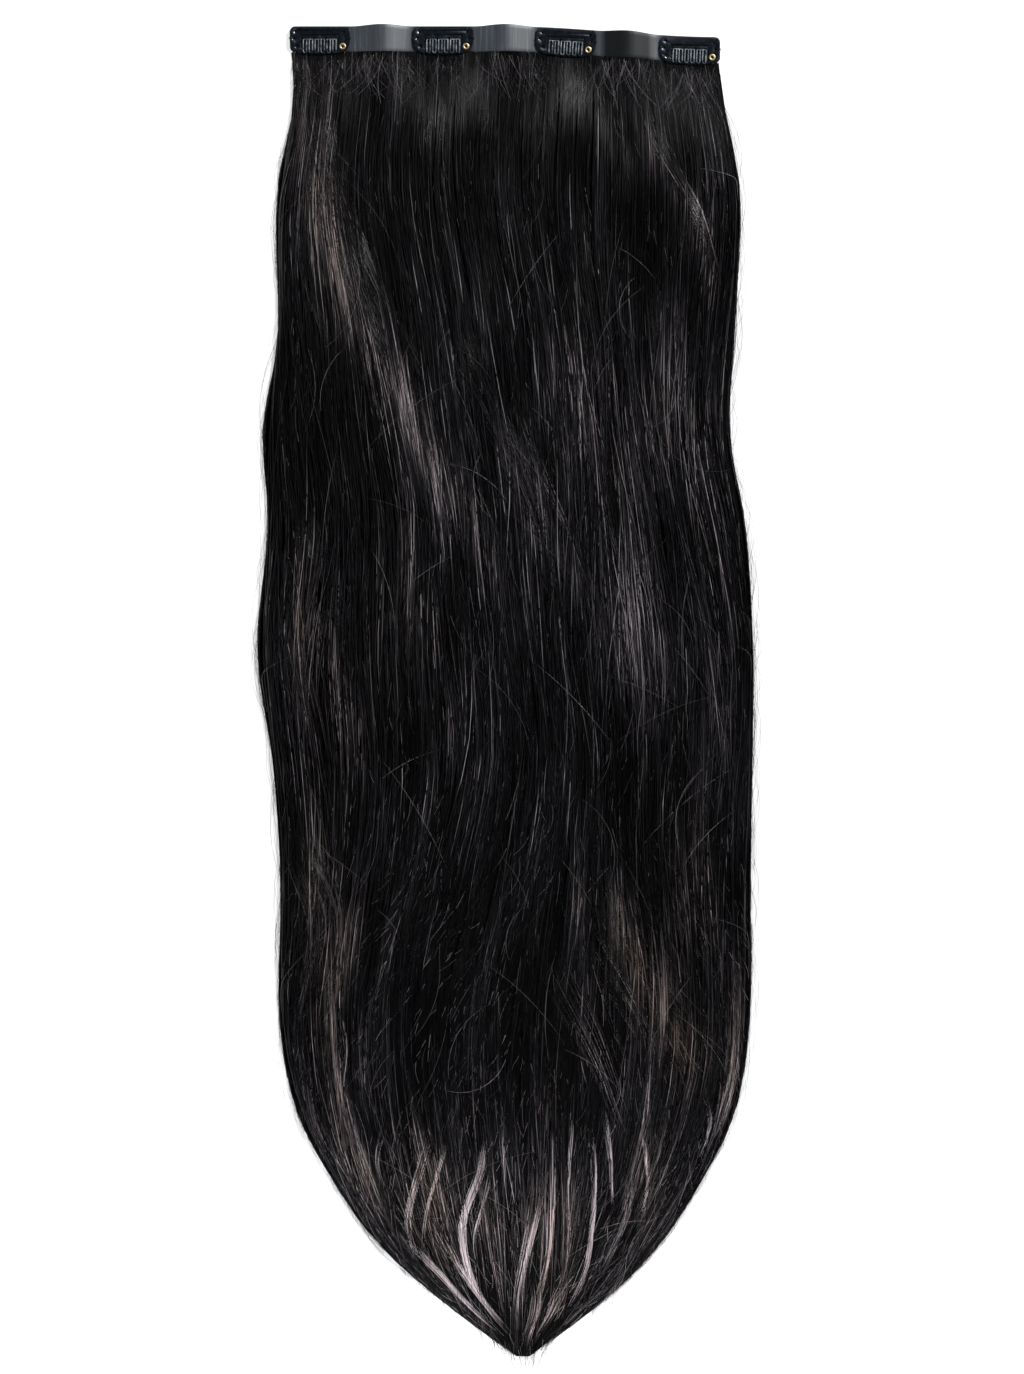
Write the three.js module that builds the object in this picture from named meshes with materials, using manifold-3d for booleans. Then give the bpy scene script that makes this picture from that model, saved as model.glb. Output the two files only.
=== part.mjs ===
// One weft of a clip-in hair extension, lying flat on a surface with its clips facing up.
// A thin polyurethane band holds the roots of the hair along one edge. Snap clips are sewn along the band.
// Each clip is a stamped steel frame, a sprung comb of hairpin teeth, and a brass eyelet.
// Millimetres, +Z up. +X runs along the band, and the hair runs from the band towards -Y.
import * as THREE from 'three';
import { mergeVertices } from 'three/addons/utils/BufferGeometryUtils.js';
import Module from 'manifold-3d';

const wasm = await Module();
wasm.setup();

// Band
const bandLength = 200;
const bandWidth = 12;
const bandThickness = 1.2;
const bandCornerRadius = 2.4;
const bandArch = 2.6; // rise of the soft band between two stiff clips
const bandDroop = 5; // how far the right end lies towards the hair's tip
const bandFloorGap = 0.2;

// Clip frame, with depths measured from its top edge towards the hair
const clipCount = 4;
const clipInset = 0.6; // from the band's top edge to the clip's top edge
const clipSeatGap = 0.3;
const sheetThickness = 0.5;
const barWidth = 3.4;
const endPlateWidth = 5.1; // from the window's side to the clip's end
const frameCornerRadius = 2.2;
const bowDepth = 12.6; // lowest point of the curved front bow
const bowWidth = 1.6;
const bowSag = 0.7; // how far the bow hangs below the frame's feet
const shoulderRise = 6; // the frame's sides start to curve inwards this far above the bow's lowest point
const footWall = 0.9; // from the window's side to the frame's foot
const windowCornerCut = 1.3;

// Sewing holes and eyelet
const upperHole = { radius: 0.62, inset: 2.8, drop: 2 };
const sideHole = { radius: 0.62, inset: 1.9, drop: 5.1 };
const lowerHoleRadius = 0.85;
const lowerHoleRise = 3.7; // from the bow's lowest point up to the lower hole and to the eyelet
const lowerHoleWall = 0.6; // from the window's side to the eyelet's hole
const eyeletRadius = 1.6;
const eyeletBoreRadius = 0.6;
const eyeletBarrelRadius = 0.95;
const eyeletHeight = 0.4;
const eyeletGap = 0.15;

// Comb
const toothCount = 6; // they hang in pairs
const toothSlot = 1;
const toothStrip = 0.52; // width of the steel round each tooth's slot
const toothGap = 0.7;
const combThickness = 0.45;
const combRailWidth = 0.9;
const combRailOverhang = 0.4;
const combGap = 0.3;
const combSideGap = 0.6;
const combPlateDepth = 1.25; // the flat bridge over each pair of teeth
const combTipSetback = 0.4; // the tips stop this far short of the bow's lowest point
const combHump = 1.25; // how far the teeth arch over the frame
const cutMargin = 1; // how far a blank reaches past the outline that is cut from it

// Hair
const hairLength = 606;
const hairThickness = 8;
const hairRootDrop = 0.1; // how far the hair's roots lie below the band's upper face
const hairRootGap = 0.3;
const hairRootLift = 36; // length over which the hair comes down from the arched band
const hairWave = 4; // how far a lock sways to each side
const hairWaveLength = 190;
const lockCount = 10;
const lockGroove = 0.34; // depth of the groove between two locks, as a share of the thickness
const wispWidth = 8;
const wispThickness = 3;
const wispTipWidth = 0.8;

// Outline and thickness of the lying hair. along is a share of hairLength, left and right are shares of
// bandLength from the band's middle, and thick is a share of hairThickness.
const HAIR_SECTIONS = [
  { along: 0.0, left: -0.497, right: 0.497, thick: 0.16 },
  { along: 0.04, left: -0.486, right: 0.511, thick: 0.55 },
  { along: 0.09, left: -0.519, right: 0.539, thick: 0.85 },
  { along: 0.13, left: -0.528, right: 0.543, thick: 0.95 },
  { along: 0.22, left: -0.524, right: 0.528, thick: 1.0 },
  { along: 0.29, left: -0.559, right: 0.518, thick: 0.95 },
  { along: 0.36, left: -0.546, right: 0.555, thick: 1.0 },
  { along: 0.46, left: -0.571, right: 0.573, thick: 1.0 },
  { along: 0.55, left: -0.533, right: 0.57, thick: 0.96 },
  { along: 0.64, left: -0.517, right: 0.567, thick: 0.95 },
  { along: 0.74, left: -0.52, right: 0.565, thick: 0.9 },
  { along: 0.81, left: -0.482, right: 0.533, thick: 0.84 },
  { along: 0.86, left: -0.405, right: 0.462, thick: 0.76 },
  { along: 0.91, left: -0.3, right: 0.365, thick: 0.66 },
  { along: 0.95, left: -0.172, right: 0.253, thick: 0.54 },
  { along: 1.0, left: 0.026, right: 0.058, thick: 0.3 },
];

// Loose wisps at the thinned end. across is 0 at the left edge and 1 at the right, from and to are shares
// of hairLength, and out and beyond, in shares of bandLength, are how far the tip strays to the right and down.
const HAIR_WISPS = [
  { across: 0.02, from: 0.72, to: 0.83, out: -0.012, beyond: 0.02 },
  { across: 0.02, from: 0.8, to: 0.9, out: -0.016, beyond: 0.02 },
  { across: 0.03, from: 0.86, to: 0.95, out: -0.014, beyond: 0.022 },
  { across: 0.12, from: 0.9, to: 0.985, out: -0.01, beyond: 0.02 },
  { across: 0.5, from: 0.94, to: 1.0, out: -0.012, beyond: 0.045 },
  { across: 0.88, from: 0.91, to: 0.985, out: 0.008, beyond: 0.024 },
  { across: 0.98, from: 0.85, to: 0.94, out: 0.012, beyond: 0.018 },
  { across: 0.98, from: 0.76, to: 0.87, out: 0.01, beyond: 0.02 },
];

const paint = {
  polyurethane: new THREE.MeshStandardMaterial({ color: 0x23282e, roughness: 0.42, metalness: 0 }),
  steel: new THREE.MeshStandardMaterial({ color: 0x161b22, roughness: 0.3, metalness: 0.7 }),
  brass: new THREE.MeshStandardMaterial({ color: 0xd9b060, roughness: 0.25, metalness: 1 }),
  hair: new THREE.MeshStandardMaterial({ color: 0x100e10, roughness: 0.45, metalness: 0 }),
};

const clamp = (value, low, high) => Math.min(high, Math.max(low, value));
const blend = (a, b, share) => a + (b - a) * share;
const smooth = (share) => share * share * (3 - 2 * share);
const bump = (share) => 4 * share * (1 - share);

// Closed skin over a row of rings of equal length, capped at both ends.
function loft(rings) {
  const n = rings[0].length;
  const index = [];
  for (let r = 0; r + 1 < rings.length; r++) {
    for (let i = 0; i < n; i++) {
      const a = r * n + i;
      const b = r * n + ((i + 1) % n);
      index.push(a, b, b + n, a, b + n, a + n);
    }
  }
  const capOf = (ring) => {
    const origin = new THREE.Vector3(...ring[0]);
    const along = new THREE.Vector3(...ring[Math.floor(n / 2)]).sub(origin).normalize();
    const normal = new THREE.Vector3();
    for (let i = 0; i < n; i++) {
      const p = new THREE.Vector3(...ring[i]).sub(origin);
      const q = new THREE.Vector3(...ring[(i + 1) % n]).sub(origin);
      normal.add(p.cross(q));
    }
    const up = normal.normalize().cross(along);
    const flat = ring.map((p) => {
      const d = new THREE.Vector3(...p).sub(origin);
      return new THREE.Vector2(d.dot(along), d.dot(up));
    });
    return THREE.ShapeUtils.triangulateShape(flat, []);
  };
  const last = (rings.length - 1) * n;
  for (const [a, b, c] of capOf(rings[0])) index.push(c, b, a);
  for (const [a, b, c] of capOf(rings[rings.length - 1])) index.push(last + a, last + b, last + c);
  const geometry = new THREE.BufferGeometry();
  geometry.setAttribute('position', new THREE.Float32BufferAttribute(rings.flat(2), 3));
  geometry.setIndex(index);
  return geometry;
}

// A three.js geometry as a manifold solid, turned the right way out.
function toSolid(geometry) {
  const bare = geometry.clone();
  bare.deleteAttribute('normal');
  bare.deleteAttribute('uv');
  const merged = mergeVertices(bare, 1e-4);
  const vertProperties = new Float32Array(merged.attributes.position.array);
  const triVerts = new Uint32Array(merged.index.array);
  const solid = new wasm.Manifold(new wasm.Mesh({ numProp: 3, vertProperties, triVerts }));
  if (solid.volume() > 0) return solid;
  for (let i = 0; i < triVerts.length; i += 3) {
    [triVerts[i + 1], triVerts[i + 2]] = [triVerts[i + 2], triVerts[i + 1]];
  }
  return new wasm.Manifold(new wasm.Mesh({ numProp: 3, vertProperties, triVerts }));
}

function toMesh(name, solid, material) {
  const made = solid.getMesh();
  const geometry = new THREE.BufferGeometry();
  geometry.setAttribute('position', new THREE.BufferAttribute(made.vertProperties, 3));
  geometry.setIndex(new THREE.BufferAttribute(made.triVerts, 1));
  geometry.computeVertexNormals();
  const mesh = new THREE.Mesh(geometry, material);
  mesh.name = name;
  return mesh;
}

// Lengths that follow from the sizes above
const toothWidth = toothSlot + 2 * toothStrip;
const toothPitch = toothWidth + toothGap;
const combHalf = ((toothCount - 1) * toothPitch + toothWidth) / 2 + combRailOverhang;
const windowHalf = combHalf + combSideGap;
const clipLength = 2 * (windowHalf + endPlateWidth);
const clipPitch = (bandLength - clipLength) / (clipCount - 1);
const archLength = clipPitch - clipLength;

// Band: it arches up between the clips, and its right half drifts towards the hair's tip.
// Height of the band's arch at a station along it, which is zero under every clip.
function archAt(station) {
  const pastClip = ((station + bandLength / 2) % clipPitch) - clipLength;
  if (pastClip <= 0) return 0;
  return (bandArch * (1 - Math.cos((2 * Math.PI * pastClip) / archLength))) / 2;
}

// How far the band has drifted sideways, towards the tip, at a station along it.
function droopAt(station) {
  return -bandDroop * smooth(clamp(station / (bandLength / 2), 0, 1));
}

function turnAt(station) {
  const step = clipLength / 4;
  return Math.atan2(droopAt(station + step) - droopAt(station - step), 2 * step);
}

function buildBand() {
  const cornerShares = [0, 0.12, 0.4, 1];
  const archSteps = 8;
  const stations = [];
  for (const share of cornerShares) stations.push(-bandLength / 2 + share * bandCornerRadius);
  for (let k = 0; k + 1 < clipCount; k++) {
    const start = -bandLength / 2 + clipLength + k * clipPitch;
    for (let i = 0; i <= archSteps; i++) stations.push(start + (archLength * i) / archSteps);
    stations.push(start + archLength + clipLength / 2);
  }
  for (const share of [...cornerShares].reverse()) stations.push(bandLength / 2 - share * bandCornerRadius);
  const rings = stations.map((s) => {
    const fromEnd = Math.min(bandLength / 2 - Math.abs(s), bandCornerRadius);
    const inset = bandCornerRadius - Math.sqrt(bandCornerRadius ** 2 - (bandCornerRadius - fromEnd) ** 2);
    const top = droopAt(s) - inset;
    const bottom = droopAt(s) - bandWidth + inset;
    const low = bandFloorGap + archAt(s);
    const high = low + bandThickness;
    return [[s, top, low], [s, top, high], [s, bottom, high], [s, bottom, low]];
  });
  return toMesh('weft_band', toSolid(loft(rings)), paint.polyurethane);
}

// Clip frame: one stamped sheet with a back bar, two end plates and a curved front bow.
const eyeletHoleRadius = eyeletBarrelRadius + eyeletGap;
const eyeletX = windowHalf + lowerHoleWall + eyeletHoleRadius;
const eyeletY = -(bowDepth - lowerHoleRise);
const sewingHoles = [
  { x: -(clipLength / 2 - upperHole.inset), y: -upperHole.drop, radius: upperHole.radius },
  { x: clipLength / 2 - upperHole.inset, y: -upperHole.drop, radius: upperHole.radius },
  { x: -(clipLength / 2 - sideHole.inset), y: -sideHole.drop, radius: sideHole.radius },
  { x: clipLength / 2 - sideHole.inset, y: -sideHole.drop, radius: sideHole.radius },
  { x: -eyeletX, y: eyeletY, radius: lowerHoleRadius },
  { x: eyeletX, y: eyeletY, radius: eyeletHoleRadius },
];

function buildFrame(name) {
  const half = clipLength / 2;
  const corner = frameCornerRadius;
  const foot = windowHalf + footWall;
  const footDepth = bowDepth - bowSag;
  const shoulder = bowDepth - shoulderRise;
  const elbow = blend(shoulder, footDepth, 0.7);
  const outline = new THREE.Shape();
  outline.moveTo(-foot, -footDepth);
  outline.quadraticCurveTo(0, -(2 * bowDepth - footDepth), foot, -footDepth);
  outline.quadraticCurveTo(half, -elbow, half, -shoulder);
  outline.lineTo(half, -corner);
  outline.absarc(half - corner, -corner, corner, 0, Math.PI / 2, false);
  outline.lineTo(-(half - corner), 0);
  outline.absarc(-(half - corner), -corner, corner, Math.PI / 2, Math.PI, false);
  outline.lineTo(-half, -shoulder);
  outline.quadraticCurveTo(-half, -elbow, -foot, -footDepth);
  outline.closePath();
  const sill = bowDepth - bowWidth;
  const opening = new THREE.Path();
  opening.moveTo(-windowHalf, -barWidth);
  opening.lineTo(-windowHalf, -(sill - windowCornerCut));
  opening.lineTo(-(windowHalf - windowCornerCut), -sill);
  opening.lineTo(windowHalf - windowCornerCut, -sill);
  opening.lineTo(windowHalf, -(sill - windowCornerCut));
  opening.lineTo(windowHalf, -barWidth);
  opening.closePath();
  outline.holes.push(opening);
  for (const hole of sewingHoles) {
    const round = new THREE.Path();
    round.absarc(hole.x, hole.y, hole.radius, 0, 2 * Math.PI, true);
    outline.holes.push(round);
  }
  const sheet = new THREE.ExtrudeGeometry(outline, { depth: sheetThickness, bevelEnabled: false, curveSegments: 8 });
  return toMesh(name, toSolid(sheet), paint.steel);
}

function buildEyelet(name) {
  const seat = sheetThickness + eyeletGap;
  const top = seat + eyeletHeight;
  const crown = (eyeletRadius + eyeletBoreRadius) / 2;
  const profile = [
    [eyeletBoreRadius, 0],
    [eyeletBarrelRadius, 0],
    [eyeletBarrelRadius, seat],
    [eyeletRadius, seat],
    [eyeletRadius, blend(seat, top, 0.45)],
    [crown, top],
    [eyeletBoreRadius, blend(seat, top, 0.6)],
    [eyeletBoreRadius, 0],
  ].map(([radius, height]) => new THREE.Vector2(radius, height));
  const ring = new THREE.LatheGeometry(profile, 14);
  ring.rotateX(Math.PI / 2);
  const mesh = toMesh(name, toSolid(ring), paint.brass);
  mesh.position.set(eyeletX, eyeletY, 0);
  return mesh;
}

// Comb: a bent sheet, cut to the outline of a rail, bridge plates and slotted teeth.
// The rail's middle line is the axis that the comb swings about.
const combAxisY = -(barWidth + combGap + combRailWidth / 2);
const combAxisZ = sheetThickness / 2;
const combTop = combAxisY + combRailWidth / 2;
const combRail = combAxisY - combRailWidth / 2;
const combPlate = combRail - combPlateDepth;
const combTip = -(bowDepth - combTipSetback);

function combOutline() {
  const radius = toothWidth / 2;
  const rim = toothSlot / 2;
  const outline = new THREE.Shape();
  outline.moveTo(combHalf, combTop);
  outline.lineTo(-combHalf, combTop);
  outline.lineTo(-combHalf, combRail);
  for (let k = 0; k < toothCount; k++) {
    const x = (k - (toothCount - 1) / 2) * toothPitch;
    const leftRoot = k % 2 === 0 ? combRail : combPlate;
    const rightRoot = k % 2 === 0 ? combPlate : combRail;
    outline.lineTo(x - radius, leftRoot);
    outline.lineTo(x - radius, combTip + radius);
    outline.absarc(x, combTip + radius, radius, Math.PI, 2 * Math.PI, false);
    outline.lineTo(x + radius, rightRoot);
    const slot = new THREE.Path();
    slot.moveTo(x - rim, combPlate);
    slot.lineTo(x - rim, combTip + radius);
    slot.absarc(x, combTip + radius, rim, Math.PI, 2 * Math.PI, false);
    slot.lineTo(x + rim, combPlate);
    slot.closePath();
    outline.holes.push(slot);
  }
  outline.lineTo(combHalf, combRail);
  outline.closePath();
  return outline;
}

function buildComb(name) {
  const crest = combAxisZ + combHump;
  const overBow = sheetThickness + combGap + combThickness / 2;
  const line = [
    [combTop + cutMargin, combAxisZ],
    [combRail, combAxisZ],
    [combPlate, crest],
    [blend(combPlate, combTip, 0.5), crest],
    [combTip - cutMargin, overBow],
  ];
  const half = combThickness / 2;
  const over = line.map(([y, z]) => [y, z + half]);
  const under = line.map(([y, z]) => [y, z - half]).reverse();
  const profile = [...over, ...under];
  const reach = combHalf + cutMargin;
  const sheet = toSolid(loft([-reach, reach].map((x) => profile.map(([y, z]) => [x, y, z]))));
  const depth = 2 * (crest + combThickness);
  const cutter = new THREE.ExtrudeGeometry(combOutline(), { depth, bevelEnabled: false, curveSegments: 5 });
  cutter.translate(0, 0, -depth / 2);
  return toMesh(name, sheet.intersect(toSolid(cutter)), paint.steel);
}

function buildClip(number) {
  const station = -(bandLength - clipLength) / 2 + (number - 1) * clipPitch;
  const clip = new THREE.Group();
  clip.add(buildFrame(`clip_${number}_frame`));
  clip.add(buildComb(`clip_${number}_comb`));
  clip.add(buildEyelet(`clip_${number}_eyelet`));
  clip.position.set(station, droopAt(station) - clipInset, bandFloorGap + bandThickness + clipSeatGap);
  clip.rotation.z = turnAt(station);
  return clip;
}

// Hair: one mass of grooved locks that narrows to a point, with loose wisps joined to it.
function sectionAt(along) {
  const last = HAIR_SECTIONS.length - 1;
  let i = 0;
  while (i < last - 1 && HAIR_SECTIONS[i + 1].along < along) i++;
  const rows = [-1, 0, 1, 2].map((step) => HAIR_SECTIONS[clamp(i + step, 0, last)]);
  const share = clamp((along - rows[1].along) / (rows[2].along - rows[1].along), 0, 1);
  const curve = (column) => {
    const [before, a, b, after] = rows.map((row) => row[column]);
    const span = rows[2].along - rows[1].along;
    const slope = (from, to, width) => (width > 0 ? ((to - from) / width) * span : 0);
    const slopeA = slope(before, b, rows[2].along - rows[0].along);
    const slopeB = slope(a, after, rows[3].along - rows[1].along);
    const s2 = share * share;
    const s3 = s2 * share;
    return (2 * s3 - 3 * s2 + 1) * a + (s3 - 2 * s2 + share) * slopeA + (3 * s2 - 2 * s3) * b + (s3 - s2) * slopeB;
  };
  return { left: bandLength * curve('left'), right: bandLength * curve('right'), thick: hairThickness * curve('thick') };
}

function hairPoint(across, along) {
  const { left, right } = sectionAt(along);
  const root = blend(-bandLength / 2, bandLength / 2, across);
  const wave = Math.sin((2 * Math.PI * along * hairLength) / hairWaveLength + Math.PI * across);
  const x = blend(left, right, across) + hairWave * wave * bump(across) * bump(along);
  const y = -(bandWidth + hairRootGap + along * hairLength) + droopAt(root) * (1 - along) ** 2;
  const lift = archAt(root) * (1 - smooth(clamp((along * hairLength) / hairRootLift, 0, 1)));
  return [x, y, lift];
}

function buildHairMass() {
  const pointsAcross = lockCount * 4;
  const pointsUnder = 12;
  const rootHeight = bandFloorGap + bandThickness - hairRootDrop;
  const alongStations = [0, 0.005, 0.015, 0.03, 0.05, 0.07];
  for (let a = 0.1; a < 0.99; a += 0.045) alongStations.push(a);
  alongStations.push(1);
  const rings = alongStations.map((along) => {
    const { thick } = sectionAt(along);
    const rootShare = 1 - smooth(clamp((along * hairLength) / hairRootLift, 0, 1));
    const ring = [];
    for (let i = 0; i <= pointsAcross; i++) {
      const across = i / pointsAcross;
      const [x, y, lift] = hairPoint(across, along);
      const crown = blend(1 - Math.abs(2 * across - 1) ** 3, 1, 0.4);
      const groove = lockGroove * Math.cos(Math.PI * across * lockCount) ** 2;
      const rough = thick * crown * (1 - groove);
      ring.push([x, y, lift + blend(rough, rootHeight, rootShare)]);
    }
    for (let i = pointsUnder - 1; i > 0; i--) ring.push(hairPoint(i / pointsUnder, along));
    return ring;
  });
  return toSolid(loft(rings));
}

function buildWisp({ across, from, to, out, beyond }) {
  const start = hairPoint(blend(across, 0.5, 0.25), from);
  const middle = hairPoint(across, blend(from, to, 0.6));
  const end = hairPoint(across, to);
  const tip = [end[0] + out * bandLength, end[1] - beyond * bandLength, 0];
  const course = new THREE.CatmullRomCurve3([start, middle, tip].map((p) => new THREE.Vector3(...p)));
  const steps = 7;
  const rings = [];
  for (let i = 0; i <= steps; i++) {
    const share = i / steps;
    const centre = course.getPoint(share);
    const tangent = course.getTangent(share);
    const aside = new THREE.Vector3(-tangent.y, tangent.x, 0).normalize();
    const taper = Math.sqrt(1 - share) * (1 - 0.3 * share);
    const half = blend(wispTipWidth, wispWidth, taper) / 2;
    const high = blend(wispTipWidth, wispThickness, taper);
    const low = bandFloorGap / 2;
    rings.push(
      [[-1, low], [-0.7, 0.75 * high], [0, high], [0.7, 0.75 * high], [1, low]].map(([side, z]) => [
        centre.x + aside.x * half * side,
        centre.y + aside.y * half * side,
        z,
      ]),
    );
  }
  return toSolid(loft(rings));
}

function buildHair() {
  let hair = buildHairMass();
  for (const wisp of HAIR_WISPS) hair = hair.add(buildWisp(wisp));
  return toMesh('hair', hair, paint.hair);
}

const weft = new THREE.Group();
weft.add(buildBand());
for (let number = 1; number <= clipCount; number++) weft.add(buildClip(number));
weft.add(buildHair());

// The origin is on the surface that the weft lies on, below the middle of its outline.
const bounds = new THREE.Box3().setFromObject(weft, true);
const centre = bounds.getCenter(new THREE.Vector3());
weft.position.set(-centre.x, -centre.y, -bounds.min.z);

const part = new THREE.Group();
part.add(weft);

export default part;
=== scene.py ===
# %% [markdown]
# # One weft of a clip-in hair extension
#
# A clip-in extension is a thin strip with long hair fixed along one edge and small snap clips along its face.
# It lies flat here, clips up, and the camera looks straight down on it.
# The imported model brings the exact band, clips and hair mass. This script gives each of them its real finish,
# and it adds what is too fine for the model: thousands of strands, loose hairs and the sewing thread.

# %% Load the frame
import math

import bmesh
import bpy
import numpy as np
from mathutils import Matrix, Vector


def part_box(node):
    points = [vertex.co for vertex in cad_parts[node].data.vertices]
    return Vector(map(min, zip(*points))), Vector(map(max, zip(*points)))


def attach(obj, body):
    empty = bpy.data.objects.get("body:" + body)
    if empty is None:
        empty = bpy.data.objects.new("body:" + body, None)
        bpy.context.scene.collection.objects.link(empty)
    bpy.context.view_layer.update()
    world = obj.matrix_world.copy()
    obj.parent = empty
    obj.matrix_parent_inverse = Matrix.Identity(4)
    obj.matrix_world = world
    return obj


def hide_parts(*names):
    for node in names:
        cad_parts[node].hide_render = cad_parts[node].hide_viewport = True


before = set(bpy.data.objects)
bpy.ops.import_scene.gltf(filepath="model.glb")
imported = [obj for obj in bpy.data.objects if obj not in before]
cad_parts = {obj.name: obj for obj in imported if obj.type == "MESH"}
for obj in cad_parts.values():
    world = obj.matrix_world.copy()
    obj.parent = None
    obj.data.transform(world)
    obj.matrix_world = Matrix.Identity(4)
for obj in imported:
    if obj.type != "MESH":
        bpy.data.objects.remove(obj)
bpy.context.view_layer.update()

MM = 0.001

# %% [markdown]
# ## Where things are
#
# Every size below is the real one in millimetres. The band's box in the frame tells where the weft's own
# corner lies, so a point that is measured from the band's upper edge can be turned into a place in the frame.

# %% Sizes of the weft
BAND_LENGTH = 200.0
BAND_WIDTH = 12.0
BAND_THICKNESS = 1.2
BAND_FLOOR_GAP = 0.2
BAND_ARCH = 2.6
BAND_DROOP = 5.0
BAND_CORNER = 2.4
CLIP_COUNT = 4
CLIP_LENGTH = 27.94

band_low, band_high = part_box("weft_band")
MIDDLE_X = (band_low.x + band_high.x) / 2 / MM
TOP_Y = band_high.y / MM


def to_frame(x, y, z):
    """Millimetres measured from the middle of the band's upper edge, as metres in the frame."""
    return np.stack([(x + MIDDLE_X) * MM, (y + TOP_Y) * MM, z * MM], axis=-1)


print("band's upper edge at", round(MIDDLE_X, 2), round(TOP_Y, 2), "mm")

# %% [markdown]
# ## The camera
#
# The photograph was taken from straight above with a long lens, so parallel things stay parallel.
# One pixel of it is 0.465 mm on the surface, and the middle of the band's upper edge lies near its top.
# A long lens far away gives the same flat view, and the camera needs no turn at all to look down.

# %% Camera
PHOTO_HEIGHT = 1374
MM_PER_PIXEL = 0.465
BAND_PIXEL = (505.0, 26.5)
PHOTO_MIDDLE = (512.0, 687.0)
CAMERA_HEIGHT = 2.4
SENSOR_HEIGHT = 36.0

camera = bpy.data.objects.new("camera", bpy.data.cameras.new("camera"))
bpy.context.scene.collection.objects.link(camera)
bpy.context.scene.camera = camera
camera.data.sensor_fit = "VERTICAL"
camera.data.sensor_height = SENSOR_HEIGHT
camera.data.lens = SENSOR_HEIGHT * CAMERA_HEIGHT / (PHOTO_HEIGHT * MM_PER_PIXEL * MM)
camera.location = (
    (MIDDLE_X + (PHOTO_MIDDLE[0] - BAND_PIXEL[0]) * MM_PER_PIXEL) * MM,
    (TOP_Y - (PHOTO_MIDDLE[1] - BAND_PIXEL[1]) * MM_PER_PIXEL) * MM,
    CAMERA_HEIGHT,
)
print("lens", round(camera.data.lens, 1), "mm, camera at", [round(c, 4) for c in camera.location])

# %% [markdown]
# ## Colours and nodes
#
# Colours are written as the sRGB hex values that a colour picker shows. Shaders work in linear light, so one
# function turns them. Another adds a node with its settings and links in one call and gives its output. The
# short ones after it name the nodes that come back in every material, so that each material reads in a few lines.

# %% Colour and node helpers


def linear(hex_colour):
    channels = [int(hex_colour[i : i + 2], 16) / 255 for i in (1, 3, 5)]
    return tuple(c / 12.92 if c <= 0.04045 else ((c + 0.055) / 1.055) ** 2.4 for c in channels) + (1.0,)


def set_inputs(node, inputs):
    """Fills a node's inputs. Each takes a plain value, or the output of another node."""
    for name, value in inputs.items():
        if isinstance(value, bpy.types.NodeSocket):
            node.id_data.links.new(value, node.inputs[name])
        else:
            node.inputs[name].default_value = value


def add_node(tree, kind, inputs=None, give=0, **settings):
    """Adds one node with its settings and inputs, and gives one of its outputs."""
    node = tree.nodes.new(kind)
    for name, value in settings.items():
        setattr(node, name, value)
    set_inputs(node, inputs or {})
    return node.outputs[give] if node.outputs else node


def new_material(name):
    """A material with a shader joined to its output. Gives it, its tree, the shader and the place on the piece."""
    material = bpy.data.materials.new(name)
    material.use_nodes = True
    tree = material.node_tree
    tree.nodes.clear()
    shader = add_node(tree, "ShaderNodeBsdfPrincipled").node
    add_node(tree, "ShaderNodeOutputMaterial", {"Surface": shader.outputs["BSDF"]})
    return material, tree, shader, add_node(tree, "ShaderNodeTexCoord", give="Object")


def add_noise(tree, place, grain_mm, detail, roughness=0.5):
    """Noise with grains of a size in mm: one number, or one for each axis."""
    scale = 1.0
    if isinstance(grain_mm, tuple):
        scales = [1 / (grain * MM) for grain in grain_mm]
        place = add_node(tree, "ShaderNodeMapping", {"Vector": place, "Scale": scales})
    else:
        scale = 1 / (grain_mm * MM)
    inputs = {"Vector": place, "Scale": scale, "Detail": detail, "Roughness": roughness}
    return add_node(tree, "ShaderNodeTexNoise", inputs)


def add_range(tree, value, low, high, start=0.0, end=1.0):
    """Turns a value that runs from start to end into one that runs from low to high."""
    inputs = {"Value": value, "From Min": start, "From Max": end, "To Min": low, "To Max": high}
    return add_node(tree, "ShaderNodeMapRange", inputs)


def add_ramp(tree, value, stops):
    """A colour ramp. Its stops are pairs of position and hex colour."""
    colour = add_node(tree, "ShaderNodeValToRGB", {"Fac": value})
    elements = colour.node.color_ramp.elements
    elements.remove(elements[-1])
    elements[0].position, elements[0].color = stops[0][0], linear(stops[0][1])
    for position, hex_colour in stops[1:]:
        elements.new(position).color = linear(hex_colour)
    return colour


def add_math(tree, operation, first, second):
    return add_node(tree, "ShaderNodeMath", {0: first, 1: second}, operation=operation)


def add_bump(tree, height, strength, depth_mm):
    inputs = {"Height": height, "Strength": strength, "Distance": depth_mm * MM}
    return add_node(tree, "ShaderNodeBump", inputs)


print("white is", linear("#ffffff"))

# %% [markdown]
# ## Finish: black human hair
#
# A hair is a clear horn-like tube with dark grains of pigment inside. Its body is almost black, and what we see as
# shine is light that glances off its outer scales, so the colour is very dark and the gloss comes from the shader's
# own highlight. No two hairs match: most are black, some are brown, and a few are given a lighter tone, a painted
# sheen. Each strand carries a value called tone that picks its colour, and fine noise along it makes the colour
# lighter and darker in short stretches, a painted glint, and varies the gloss. The mass below the strands has the
# same noise, but it is duller and painted darker, a painted shade for the depth between hairs.

# %% Hair material
HAIR_GLINT_NOISE_MM = (0.6, 26.0, 5.0)


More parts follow.
